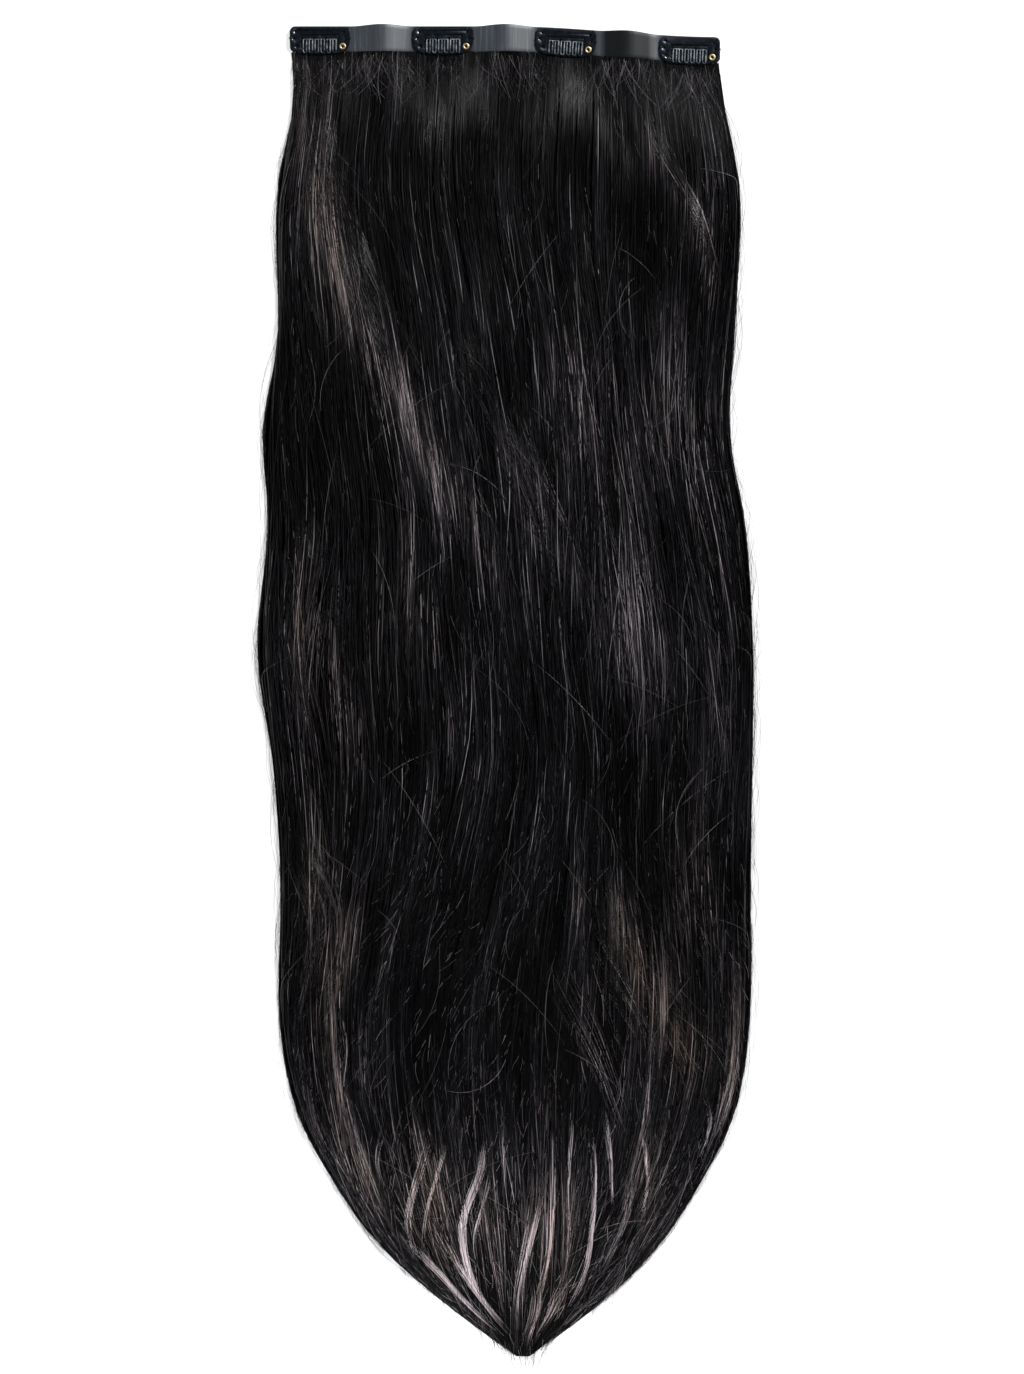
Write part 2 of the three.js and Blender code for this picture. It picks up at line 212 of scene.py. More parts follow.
def make_hair_material(name, stops, roughness, ior):
    hair, tree, shader, place = new_material(name)
    tone = add_node(tree, "ShaderNodeAttribute", give="Fac", attribute_name="tone")
    warmth = add_node(tree, "ShaderNodeAttribute", give="Fac", attribute_name="warmth")
    glint = add_noise(tree, place, HAIR_GLINT_NOISE_MM, 3.0, 0.6)
    # the noise scales the colour 0.45 to 1.9 times in short stretches: a painted glint
    spread = add_range(tree, glint, 0.45, 1.9, 0.3, 0.75)
    shade = add_node(
        tree, "ShaderNodeVectorMath", {0: add_ramp(tree, tone, stops), "Scale": spread}, operation="SCALE"
    )
    cast = add_ramp(tree, warmth, [(0.0, "#f4f2ff"), (1.0, "#fff0e6")])
    tinted = add_node(tree, "ShaderNodeVectorMath", {0: shade, 1: cast}, operation="MULTIPLY")
    gloss = add_range(tree, glint, roughness + 0.09, roughness - 0.05, 0.32, 0.68)
    set_inputs(shader, {"Base Color": tinted, "Roughness": gloss, "IOR": ior})
    return hair


HAIR_STOPS = [
    (0.0, "#050505"), (0.3, "#131313"), (0.5, "#222122"), (0.65, "#3a3839"),
    (0.78, "#615c5c"), (0.9, "#a19994"), (1.0, "#efe6e2"),
]
strand_hair = make_hair_material("black_human_hair_strands", HAIR_STOPS, 0.18, 1.42)
# the mass's darker stops are a painted shade for the depth between hairs
mass_hair = make_hair_material("black_human_hair_mass", [(0.0, "#020202"), (1.0, "#060505")], 0.7, 1.2)
print("hair materials:", strand_hair.name, mass_hair.name)

# %% [markdown]
# ## The shape of the lying hair
#
# The hair leaves the band as a thin layer, swells to a few millimetres, sways a little on its way down and
# ends in a point. A short table gives the outline and the thickness at some stations, as shares of the real
# sizes. A smooth curve runs through them, so the same two numbers, across and along, place any point of any
# strand. Across goes from 0 at the left edge to 1 at the right, and along from 0 at the roots to 1 at the tip.

# %% Hair table and curves
HAIR_LENGTH = 606.0
HAIR_THICKNESS = 8.0
ROOT_GAP = 0.3
ROOT_DROP = 0.1
ROOT_LIFT = 36.0
HAIR_WAVE = 4.0
HAIR_WAVE_LENGTH = 190.0
LOCK_COUNT = 10
LOCK_GROOVE = 0.34

HAIR_SECTIONS = {
    "along": (0, 0.04, 0.09, 0.13, 0.22, 0.29, 0.36, 0.46, 0.55, 0.64, 0.74, 0.81, 0.86, 0.91, 0.95, 1),
    "left": (
        -0.497, -0.486, -0.519, -0.528, -0.524, -0.559, -0.546, -0.571,
        -0.533, -0.517, -0.52, -0.482, -0.405, -0.3, -0.172, 0.026,
    ),
    "right": (
        0.497, 0.511, 0.539, 0.543, 0.528, 0.518, 0.555, 0.573,
        0.57, 0.567, 0.565, 0.533, 0.462, 0.365, 0.253, 0.058,
    ),
    "thick": (
        0.16, 0.55, 0.85, 0.95, 1.0, 0.95, 1.0, 1.0,
        0.96, 0.95, 0.9, 0.84, 0.76, 0.66, 0.54, 0.3,
    ),
}


def read_table(table, column, at, key="along"):
    """Reads one column of a table at any station, on a smooth curve through its rows."""
    xs = np.array(table[key], float)
    ys = np.array(table[column], float)
    slopes = np.empty_like(ys)
    slopes[1:-1] = (ys[2:] - ys[:-2]) / (xs[2:] - xs[:-2])
    slopes[0] = (ys[1] - ys[0]) / (xs[1] - xs[0])
    slopes[-1] = (ys[-1] - ys[-2]) / (xs[-1] - xs[-2])
    row = np.clip(np.searchsorted(xs, at, side="right") - 1, 0, len(xs) - 2)
    span = xs[row + 1] - xs[row]
    t = np.clip((at - xs[row]) / span, 0, 1)
    start = (2 * t**3 - 3 * t**2 + 1) * ys[row] + (t**3 - 2 * t**2 + t) * span * slopes[row]
    end = (3 * t**2 - 2 * t**3) * ys[row + 1] + (t**3 - t**2) * span * slopes[row + 1]
    return start + end


def smooth(share):
    share = np.clip(share, 0, 1)
    return share * share * (3 - 2 * share)


def bump(share):
    return 4 * share * (1 - share)


def outline(along):
    """The hair's left and right edge at a station, in mm from the band's middle."""
    return [read_table(HAIR_SECTIONS, side, along) * BAND_LENGTH for side in ("left", "right")]


print("outline at the middle:", outline(0.5))

# %% Band course
clip_pitch = (BAND_LENGTH - CLIP_LENGTH) / (CLIP_COUNT - 1)
clip_stations = [-(BAND_LENGTH - CLIP_LENGTH) / 2 + number * clip_pitch for number in range(CLIP_COUNT)]
arch_length = clip_pitch - CLIP_LENGTH


def arch_at(station):
    """How high the soft band arches up at a station along it. It is flat under each clip."""
    past_clip = np.mod(station + BAND_LENGTH / 2, clip_pitch) - CLIP_LENGTH
    return np.where(past_clip > 0, BAND_ARCH * (1 - np.cos(2 * np.pi * past_clip / arch_length)) / 2, 0.0)


def droop_at(station):
    """How far the band has drifted towards the hair's tip at a station along it."""
    return -BAND_DROOP * smooth(station / (BAND_LENGTH / 2))


print("arch between two clips:", round(arch_length, 2), "mm long")

# %% Hair surface


def root_share(along):
    return 1 - smooth(along * HAIR_LENGTH / ROOT_LIFT)


def hair_y(x, along):
    """How far down a place of the hair lies. The roots follow the band's course, and the tip doesn't."""
    return -(BAND_WIDTH + ROOT_GAP + along * HAIR_LENGTH) + droop_at(x) * (1 - along) ** 2


def hair_plan(across, along):
    """Where the hair's flow takes a point, seen from above, and how far the arched band lifts it."""
    left, right = outline(along)
    root = BAND_LENGTH * (across - 0.5)
    wave = np.sin(2 * np.pi * along * HAIR_LENGTH / HAIR_WAVE_LENGTH + np.pi * across)
    x = left + (right - left) * across + HAIR_WAVE * wave * bump(across) * bump(along)
    return x, hair_y(root, along), arch_at(root) * root_share(along)


def hair_height(across, along, groove=LOCK_GROOVE):
    """Height of the hair's upper side above its underside."""
    thick = read_table(HAIR_SECTIONS, "thick", along) * HAIR_THICKNESS
    crown = 1 - 0.6 * np.abs(2 * across - 1) ** 3
    grooves = groove * np.cos(np.pi * across * LOCK_COUNT) ** 2
    root_height = BAND_FLOOR_GAP + BAND_THICKNESS - ROOT_DROP
    share = root_share(along)
    return thick * crown * (1 - grooves) * (1 - share) + root_height * share


print("height in the middle:", round(float(hair_height(np.array(0.55), np.array(0.4))), 2), "mm")

# %% [markdown]
# ## The dense body of the hair
#
# Between the strands one never sees the table, only more hair. A closed body under the strands stands for
# that depth. It follows the same outline as the solid hair of the model, a little lower, and narrow ridges
# run along it so that even its gaps look like hair. It is a grid wrapped round the section, closed at both ends.

# %% Mesh helpers


def mesh_object(name, points, faces, material, shade_smooth=True):
    mesh = bpy.data.meshes.new(name)
    mesh.from_pydata([tuple(p) for p in points], [], [tuple(f) for f in faces])
    mesh.materials.append(material)
    if shade_smooth:
        mesh.shade_smooth()
    mesh.update()
    piece = bpy.data.objects.new(name, mesh)
    bpy.context.scene.collection.objects.link(piece)
    return piece


def wrap_rings(rings):
    """Points and faces of a closed skin over rings of equal length, with a face at each end."""
    count, size = rings.shape[:2]
    points = rings.reshape(-1, 3)
    start = (np.arange(count - 1) * size)[:, None]
    here = np.arange(size)[None, :]
    after = np.roll(np.arange(size), -1)[None, :]
    quads = np.stack([start + here, start + after, start + size + after, start + size + here], -1).reshape(-1, 4)
    caps = [list(range(size))[::-1], list(range((count - 1) * size, count * size))]
    return points, quads.tolist() + caps


# %% Slow relief of the surface
RELIEF = 1.0
rng = np.random.default_rng(5)
relief_waves = [(rng.uniform(24, 60), rng.uniform(110, 230), *rng.uniform(0, 6.28, 2)) for _ in range(9)]


def relief(x, y):
    """Broad soft hills of the lying hair in mm. They are longer along the hair than across it."""
    hills = 0
    for wide, long, phase, skew in relief_waves:
        hills = hills + np.sin(2 * np.pi * x / wide + phase + np.sin(2 * np.pi * y / long + skew) * 2.0)
    return RELIEF * hills / math.sqrt(len(relief_waves))


print("relief at the middle:", round(float(relief(0.0, -300.0)), 2), "mm")

# %% [markdown]
# ## Painted sheen and shade
#
# Dyed black hair is not one black. In soft places that run along the locks its colour is made lighter, a painted
# sheen, and in some darker, a painted shade; some places are also browner and some cooler, which is the hair's own
# tint. Each row below is one such place: its middle in millimetres, its half width and half length, how many degrees
# it leans from straight down, how much lighter it is (darker, if below zero) and how warm. Strands read their tone
# from it.

# %% Table of painted sheen and shade
PAINTED_LIGHT_AND_WARMTH_PLACES = [
    (-85, -74, 11, 50, 8, 0.85, 0.5),
    (-71, -127, 9, 40, 20, 0.7, 0.4),
    (-43, -183, 9, 46, 27, 0.9, 0.2),
    (-16, -232, 9, 34, 24, 0.5, 0.1),
    (12, -220, 7, 38, 24, 0.8, 0.0),
    (37, -174, 9, 40, 6, 0.6, 0.1),
    (63, -283, 13, 34, 10, 0.9, 0.0),
    (91, -248, 9, 40, 8, 0.5, 0.1),
    (73, -64, 7, 28, 30, 0.95, 0.3),
    (92, -104, 6, 26, 18, 0.7, 0.3),
    (67, -174, 26, 55, 10, 0.35, 0.1),
    (-95, -278, 6, 34, 3, 0.45, 0.5),
    (-74, -313, 14, 50, 10, 0.35, 0.2),
    (-90, -397, 7, 26, -4, 0.5, 0.7),
    (-78, -434, 8, 34, -10, 0.6, 0.7),
    (-79, -492, 6, 40, 12, 0.6, 0.5),
    (-60, -539, 7, 26, 38, 0.6, 0.6),
    (57, -427, 12, 26, 24, 0.7, 0.8),
    (81, -469, 13, 28, 30, 0.6, 0.8),
    (107, -471, 4, 40, -4, 0.7, 0.5),
    (-33, -548, 11, 40, 12, 0.55, 0.7),
    (-8, -557, 6, 46, 3, 0.7, 0.4),
    (23, -571, 16, 44, -2, 0.6, 0.6),
    (65, -534, 10, 30, -8, 0.5, 0.5),
    (12, -275, 75, 100, 0, 0.28, 0.0),
    (-90, -300, 16, 80, 3, 0.25, 0.1),
    (-45, -270, 14, 60, 10, 0.25, 0.2),
    (86, -395, 14, 60, 6, 0.25, 0.4),
    (-84, -211, 14, 46, 8, -0.4, 0.0),
    (67, -97, 14, 32, 10, -0.6, 0.0),
    (-56, -111, 8, 32, 20, -0.5, 0.0),
    (-35, -418, 22, 50, 4, -0.45, 0.0),
    (19, -457, 26, 44, 0, -0.35, 0.2),
    (7, -295, 28, 50, 5, -0.3, 0.0),
    (63, -364, 20, 38, 5, -0.35, 0.0),
    (26, -57, 40, 30, 0, -0.25, 0.0),
    (-40, -490, 16, 30, 5, -0.35, 0.0),
]


def painted_light_and_warmth_at(x, y):
    """How much painted sheen (below zero, painted shade) and how much warm tint the hair gets at a place."""
    light, warm = 0 * x, 0 * x
    for mid_x, mid_y, half_width, half_length, lean, strength, warmth in PAINTED_LIGHT_AND_WARMTH_PLACES:
        angle = math.radians(lean)
        beside = (x - mid_x) * math.cos(angle) + (y - mid_y) * math.sin(angle)
        down = (x - mid_x) * math.sin(angle) - (y - mid_y) * math.cos(angle)
        here = np.exp(-((beside / half_width) ** 2) - (down / half_length) ** 2)
        light = light + strength * here
        warm = warm + warmth * here
    return np.clip(light, -0.6, 1.4), np.clip(warm, 0, 1)


print("light and warmth low on the left:", painted_light_and_warmth_at(np.array(-78.0), np.array(-434.0)))

# %% Hair mass
MASS_ACROSS = 160
MASS_ALONG = 110
MASS_UNDER = 16
MASS_RECESS = 1.0

across_row = np.linspace(0, 1, MASS_ACROSS)
along_row = np.concatenate([np.linspace(0, 0.08, 20, endpoint=False), np.linspace(0.08, 1, MASS_ALONG)])
ridge_waves = [(rng.uniform(60, 200), rng.uniform(0, 6.28), rng.uniform(-9, 9)) for _ in range(7)]

rings = []
for along in along_row:
    x, y, lift = hair_plan(across_row, along)
    ridges = sum(np.sin(f * across_row + p + d * along) for f, p, d in ridge_waves) / len(ridge_waves)
    sunk = MASS_RECESS * smooth(along * HAIR_LENGTH / 10) + 0.45 * (1 - smooth(along * HAIR_LENGTH / 10))
    height = hair_height(across_row, along) - sunk
    early = smooth(along * HAIR_LENGTH / 28)
    height = height + (relief(x, y) * early + 0.4 * ridges * (1 - root_share(along))) * bump(across_row) ** 0.3
    top = to_frame(x, y, lift + np.maximum(height, 0.25))
    x, y, lift = hair_plan(np.linspace(1, 0, MASS_UNDER), along)
    rings.append(np.concatenate([top, to_frame(x, y, lift)]))
points, faces = wrap_rings(np.array(rings))
hair_mass = mesh_object("hair_mass", points, faces, mass_hair)
print("hair mass faces:", len(hair_mass.data.polygons))

# %% [markdown]
# ## One tree that turns lines into strands
#
# A strand could be a Blender hair curve, but those are not meshes and an exported part would lose them.
# So each strand starts as a line of points with two values at every point: its thickness and its tone.
# One Geometry Nodes tree turns all lines into tubes at once. The same tree makes the sewing thread later.
# A hair needs only three sides, because its smooth shading hides the corners.

# %% Geometry Nodes helpers


def new_tree(name, inputs):
    """A geometry tree with named inputs. Gives the tree and what comes in."""
    tree = bpy.data.node_groups.new(name, "GeometryNodeTree")
    tree.interface.new_socket("Geometry", in_out="INPUT", socket_type="NodeSocketGeometry")
    for label, kind in inputs.items():
        tree.interface.new_socket(label, in_out="INPUT", socket_type=kind)
    tree.interface.new_socket("Geometry", in_out="OUTPUT", socket_type="NodeSocketGeometry")
    return tree, tree.nodes.new("NodeGroupInput").outputs


def finish_tree(tree, geometry, material):
    """Ends a tree in Realize Instances and Set Material."""
    real = add_node(tree, "GeometryNodeRealizeInstances", {"Geometry": geometry})
    dressed = add_node(tree, "GeometryNodeSetMaterial", {"Geometry": real, "Material": material})
    add_node(tree, "NodeGroupOutput", {"Geometry": dressed})


def run_tree(name, mesh, tree, values):
    """Runs a tree on a mesh with the given inputs, and keeps the result as a plain mesh."""
    carrier = bpy.data.objects.new(name + "_source", mesh)
    bpy.context.scene.collection.objects.link(carrier)
    modifier = carrier.modifiers.new("shape", "NODES")
    modifier.node_group = tree
    for item in tree.interface.items_tree:
        if item.item_type == "SOCKET" and item.in_out == "INPUT" and item.name in values:
            modifier[item.identifier] = values[item.name]
    graph = bpy.context.evaluated_depsgraph_get()
    result = bpy.data.meshes.new_from_object(
        carrier.evaluated_get(graph), preserve_all_data_layers=True, depsgraph=graph
    )
    bpy.data.objects.remove(carrier)
    result.name = name
    piece = bpy.data.objects.new(name, result)
    bpy.context.scene.collection.objects.link(piece)
    return piece


# %% Strand tree
strand_tree, given = new_tree(
    "skin_of_strands", {"Sides": "NodeSocketInt", "Thickness": "NodeSocketFloat", "Material": "NodeSocketMaterial"}
)
lines = add_node(strand_tree, "GeometryNodeMeshToCurve", {"Mesh": given["Geometry"]})
profile = add_node(strand_tree, "GeometryNodeCurvePrimitiveCircle", {"Resolution": given["Sides"], "Radius": 0.5})
size = add_node(strand_tree, "GeometryNodeInputNamedAttribute", {"Name": "thickness"}, data_type="FLOAT")
scale = add_math(strand_tree, "MULTIPLY", size, given["Thickness"])
along_lines = {"Curve": lines, "Profile Curve": profile, "Scale": scale, "Fill Caps": True}
skin = add_node(strand_tree, "GeometryNodeCurveToMesh", along_lines)
soft = add_node(strand_tree, "GeometryNodeSetShadeSmooth", {"Geometry": skin})
finish_tree(strand_tree, soft, given["Material"])
print("strand tree has", len(strand_tree.nodes), "nodes")

# %% Lines to strands


def make_strands(name, points, thickness, tone, material=strand_hair, sides=3):
    """Tubes along lines. points is lines x points x 3 in metres; thickness in mm and tone are lines x points."""
    count, size = points.shape[:2]
    warmth = painted_light_and_warmth_at(points[..., 0] / MM - MIDDLE_X, points[..., 1] / MM - TOP_Y)[1]
    mesh = bpy.data.meshes.new(name + "_lines")
    first = np.arange(count * size).reshape(count, size)
    edges = np.stack([first[:, :-1], first[:, 1:]], -1).reshape(-1, 2)
    mesh.vertices.add(count * size)
    mesh.vertices.foreach_set("co", points.astype(np.float32).ravel())
    mesh.edges.add(len(edges))
    mesh.edges.foreach_set("vertices", edges.astype(np.int32).ravel())
    for label, values in (("thickness", thickness), ("tone", tone), ("warmth", warmth)):
        attribute = mesh.attributes.new(label, "FLOAT", "POINT")
        full = np.broadcast_to(values, (count, size)).astype(np.float32)
        attribute.data.foreach_set("value", full.ravel())
    mesh.update()
    piece = run_tree(name, mesh, strand_tree, {"Sides": sides, "Thickness": MM, "Material": material})
    print(name, count, "lines,", sum(len(p.vertices) - 2 for p in piece.data.polygons), "triangles")
    return piece


hair_pieces = [hair_mass]


def add_hair(*strands):
    hair_pieces.append(make_strands(*strands))


# %% [markdown]
# ## The flow of the hair
#
# Combed hair flows like water: all strands of a region sway together. Five guide strands say how. Each row of
# the table is one guide, as its share of the hair's width at some stations along it, and every other strand
# takes its way from the two guides beside it. Near the point the outer strands lie along the edge, while the
# inner ones go on almost straight until they meet it.

# %% Flow
FLOW_GUIDES = {
    "along": (0, 0.074, 0.151, 0.228, 0.305, 0.381, 0.458, 0.535, 0.612, 0.688, 0.765, 0.842, 0.919, 1),
    0.15: (0.15, 0.13, 0.165, 0.215, 0.28, 0.287, 0.284, 0.282, 0.253, 0.219, 0.188, 0.177, 0.147, 0.15),
    0.3: (0.3, 0.281, 0.307, 0.355, 0.42, 0.427, 0.428, 0.414, 0.381, 0.355, 0.323, 0.3, 0.27, 0.3),
    0.5: (0.5, 0.48, 0.487, 0.515, 0.57, 0.586, 0.597, 0.582, 0.552, 0.531, 0.509, 0.496, 0.48, 0.5),
    0.7: (0.7, 0.683, 0.688, 0.695, 0.72, 0.732, 0.761, 0.757, 0.741, 0.768, 0.785, 0.767, 0.74, 0.7),
    0.85: (0.85, 0.853, 0.854, 0.853, 0.858, 0.862, 0.901, 0.904, 0.891, 0.91, 0.916, 0.902, 0.88, 0.85),
}
GUIDE_AT = (0, 0.15, 0.3, 0.5, 0.7, 0.85, 1)


def flow_x(across, along):
    """Where the flow takes a strand sideways, in mm from the band's middle."""
    along = np.clip(along, 0, 1)
    guides = [0 * along] + [read_table(FLOW_GUIDES, at, along) for at in GUIDE_AT[1:-1]] + [0 * along + 1]
    share = 0
    for number in range(len(GUIDE_AT) - 1):
        low, high = GUIDE_AT[number], GUIDE_AT[number + 1]
        share = share + np.clip((across - low) / (high - low), 0, 1) * (guides[number + 1] - guides[number])
    left, right = outline(along)
    return left + (right - left) * share


def keep_inside(x, along, margin):
    """Holds strands inside the outline. One that meets the edge follows it from there."""
    left, right = outline(along)
    gap = np.minimum(margin, 0.42 * (right - left))
    x = np.clip(x, left + gap, right - gap)
    for _ in range(2):
        x = np.concatenate([x[:, :1], (x[:, :-2] + 2 * x[:, 1:-1] + x[:, 2:]) / 4, x[:, -1:]], axis=1)
    return x


def along_at(x, y):
    """The share of the hair's length at a place, which is the inverse of hair_y."""
    along = (-y - BAND_WIDTH - ROOT_GAP) / HAIR_LENGTH
    for _ in range(2):
        along = (-y - BAND_WIDTH - ROOT_GAP + droop_at(x) * (1 - np.clip(along, 0, 1)) ** 2) / HAIR_LENGTH
    return along


def over_hair(x, y, above):
    """Places points a number of millimetres above the hair's surface. Near the band they come down to it."""
    along = np.clip(along_at(x, y), 0, 1)
    left, right = outline(along)
    across = np.clip((x - left) / (right - left), 0, 1)
    share = root_share(along)
    height = hair_height(across, along, 0.0) - 0.8 * (1 - share)
    height = height + relief(x, y) * smooth(along * HAIR_LENGTH / 28) * bump(across) ** 0.3
    lift = arch_at(np.clip(x, -BAND_LENGTH / 2, BAND_LENGTH / 2)) * share
    return to_frame(x, y, lift + np.maximum(height + above, 0.25))


print("flow at the middle:", [round(float(flow_x(np.array(0.5), np.array(a))), 1) for a in (0, 0.25, 0.5, 0.75, 1)])

# %% [markdown]
# ## The locks
#
# Loose hair never lies as an even sheet. Static and natural oils gather it into locks that wander, tighten,
# open again and lie over each other, and this is what gives the long soft lines of light.
# Each lock gets a slow wandering path over the hair's surface and a width that changes along it. Each strand
# has a place inside its lock's round section, and this place turns slowly, so strands come up to the surface
# and go down again. Near the band the strands still stand in the even row in which they were laid into it.

# %% Strand numbers
LOCKS = 46
LOOSE_SHARE = 0.2
STRAY_SHARE = 0.09
SHORT_SHARE = 0.12
DRIFT = 3.2
STRAND_COUNT = 2400
STRAND_POINTS = 33
STRAND_WIDTH = 0.34
STRAND_PIECES = 4
TIP_FROM = 0.8

rng = np.random.default_rng(11)
progress = np.linspace(0, 1, STRAND_POINTS)[None, :]


def draw(count, low=0, high=1):
    """One random number for each line, as a column."""
    return rng.uniform(low, high, (count, 1))


def waves(count, low_mm, high_mm, size_mm, terms, length_mm):
    """Slow random sways, one row for each line: a sum of sines with wave lengths between two sizes."""
    total = 0
    for _ in range(terms):
        wave_length = draw(count, low_mm, high_mm)
        total = total + np.sin(2 * np.pi * length_mm / wave_length + draw(count, 0, 2 * np.pi))
    return total * size_mm / math.sqrt(terms)


# %% Strand places
order = (np.arange(STRAND_COUNT)[:, None] + draw(STRAND_COUNT)) / STRAND_COUNT
lock_width = rng.uniform(0.25, 1.0, LOCKS) ** 1.6
lock_edge = np.concatenate([[0], np.cumsum(lock_width)]) / lock_width.sum()
lock = np.clip(np.searchsorted(lock_edge, order) - 1, 0, LOCKS - 1)
lock_middle = ((lock_edge[1:] + lock_edge[:-1]) / 2)[lock]
lock_half = ((lock_edge[1:] - lock_edge[:-1]) / 2)[lock]

ending = 1 - 0.13 * rng.power(1.6, (STRAND_COUNT, 1))
ending = np.where(draw(STRAND_COUNT) < SHORT_SHARE, draw(STRAND_COUNT, 0.62, 0.9), ending)
start = -0.5 / HAIR_LENGTH
along = start + (ending - start) * progress**1.04
length_mm = along * HAIR_LENGTH

full_mm = np.linspace(0, HAIR_LENGTH, 300)[None, :]
drift_waves = [(rng.uniform(190, 420), rng.uniform(-1.6, 1.6), rng.uniform(0, 6.28)) for _ in range(4)]


def drift(across, length_mm):
    """How far the locks of a region sway together, in mm. Neighbours sway almost alike."""
    swing = sum(np.sin(2 * np.pi * (length_mm / long + skew * across) + phase) for long, skew, phase in drift_waves)
    return DRIFT * swing / 2 * smooth(length_mm / 110)


lock_sway = waves(LOCKS, 170, 360, 1.4, 3, full_mm)
lock_open = 1.15 + waves(LOCKS, 120, 300, 0.15, 2, full_mm)
lock_level = 0.35 + waves(LOCKS, 140, 300, 0.45, 2, full_mm)


def from_lock(table):
    """Reads a lock's own table at each point of its strands."""
    spot = np.clip(length_mm / HAIR_LENGTH * (table.shape[1] - 1), 0, table.shape[1] - 1.001)
    low = spot.astype(int)
    return table[lock, low] * (1 - spot + low) + table[lock, low + 1] * (spot - low)


gathered = smooth(length_mm / 150)
reach = (order - lock_middle) / lock_half
depth = draw(STRAND_COUNT, -0.5, 1) * np.sqrt(np.clip(1 - reach**2, 0, 1))
turn = waves(STRAND_COUNT, 180, 450, 0.8, 2, length_mm) + 0.4 * np.sin(2 * np.pi * length_mm / 260 + lock)
sideways = reach * np.cos(turn) - depth * np.sin(turn)
upward = depth * np.cos(turn) + reach * np.sin(turn)
sideways = reach * (1 - gathered) + sideways * gathered * from_lock(lock_open)
print("strands per lock:", np.bincount(lock[:, 0]).min(), "to", np.bincount(lock[:, 0]).max())

# %% Strand paths
own_sway = waves(STRAND_COUNT, 110, 320, 1.25, 3, length_mm) + waves(STRAND_COUNT, 45, 95, 0.3, 2, length_mm)
stray = draw(STRAND_COUNT) < STRAY_SHARE
stray_sway = waves(STRAND_COUNT, 160, 420, 4.5, 2, length_mm) * smooth((length_mm - 30) / 120)
sway = from_lock(lock_sway) * smooth(length_mm / 90) + own_sway * gathered + stray * stray_sway
loose = draw(STRAND_COUNT) < LOOSE_SHARE
across = np.clip(np.where(loose, order, lock_middle + lock_half * sideways), 0, 1)
sway = np.where(loose, 1.6 * own_sway * gathered, sway) + drift(across, length_mm)

strand_x = flow_x(across, along) + sway
straight_x = flow_x(across, np.minimum(along, TIP_FROM)) + sway
tip_x = sum(outline(np.array(1.0))) / 2
straight_x = straight_x + (tip_x - straight_x) * 0.35 * smooth((along - TIP_FROM) / 0.2)
hold = (rng.uniform(0.2, 1.0, LOCKS)[lock] + rng.normal(0, 0.1, (STRAND_COUNT, 1))).clip(0, 1)
strand_x = strand_x + (straight_x - strand_x) * hold * smooth((along - TIP_FROM) / 0.05)
strand_x = keep_inside(strand_x, along, rng.exponential(1.8, (STRAND_COUNT, 1)) + 0.15)
strand_y = hair_y(strand_x, along)

rising = smooth(length_mm / 9)
layer = draw(STRAND_COUNT, 0, 0.75) + waves(STRAND_COUNT, 60, 160, 0.42, 2, length_mm)
above = np.where(loose, -0.1, from_lock(lock_level) + 0.45 * upward) + layer + stray * 0.7
root_layer = draw(STRAND_COUNT, -0.75, 0.12)
above = root_layer * (1 - rising) + (0.15 + above * smooth(length_mm / 45)) * rising
strand_points = over_hair(strand_x, strand_y, above - 0.5 * smooth((along - 0.9) / 0.1))
print("strand heights:", strand_points[..., 2].min() / MM, "to", strand_points[..., 2].max() / MM, "mm")

# %% [markdown]
# ## Thickness and tone of each strand
#
# A real hair is about 0.07 mm thick, far below one pixel here, and the weft holds many thousands of them.
# Each strand drawn is a small bundle of a few hairs, a third of a millimetre wide, thinner at the root and fading to
# a fine tip. Its tone comes from the painted sheen and shade of the place where it lies, from its lock, and a little
# from itself. On top, a painted gleam lightens a strand for a few centimetres at random places, and these gleams are
# the fine light lines of the finished hair.

# %% Strand tones
lock_tone = from_lock(waves(LOCKS, 90, 260, 0.13, 2, full_mm))
strand_painted_light = painted_light_and_warmth_at(strand_x, strand_y)[0]
speckle = rng.normal(0, 1, (STRAND_COUNT, 1)) * (0.11 + 0.1 * strand_painted_light.clip(0, 1))
# painted gleam: the tone rises for a few centimetres at random along each strand, a painted highlight
painted_gleam = smooth((waves(STRAND_COUNT, 90, 260, 1.0, 2, length_mm) - 0.5) / 0.8)
painted_gleam = painted_gleam * draw(STRAND_COUNT, 0.1, 0.52)
tone = 0.35 + 0.45 * strand_painted_light + lock_tone + speckle + painted_gleam
tone = np.clip(tone + waves(STRAND_COUNT, 50, 180, 0.07, 2, length_mm), 0, 0.96)


def end_taper(end, along):
    """Fades a strand's thickness to a quarter over its last part."""
    return np.clip((end - along) / 0.07 + 0.25, 0.25, 1)


thickness = STRAND_WIDTH * draw(STRAND_COUNT, 0.7, 1.3) * (np.clip(length_mm / 25, 0.6, 1) * end_taper(ending, along))
for number, part in enumerate(np.array_split(np.arange(STRAND_COUNT), STRAND_PIECES), 1):
    add_hair(f"hair_strands_{number}", strand_points[part], thickness[part], tone[part])

# %% [markdown]
# ## Edges and roots
#
# The sides of the hair are a few millimetres high, and strands run along them too. At the lower edge of
# the band, where the hairs come out of the film, short baby hairs lie in all directions.

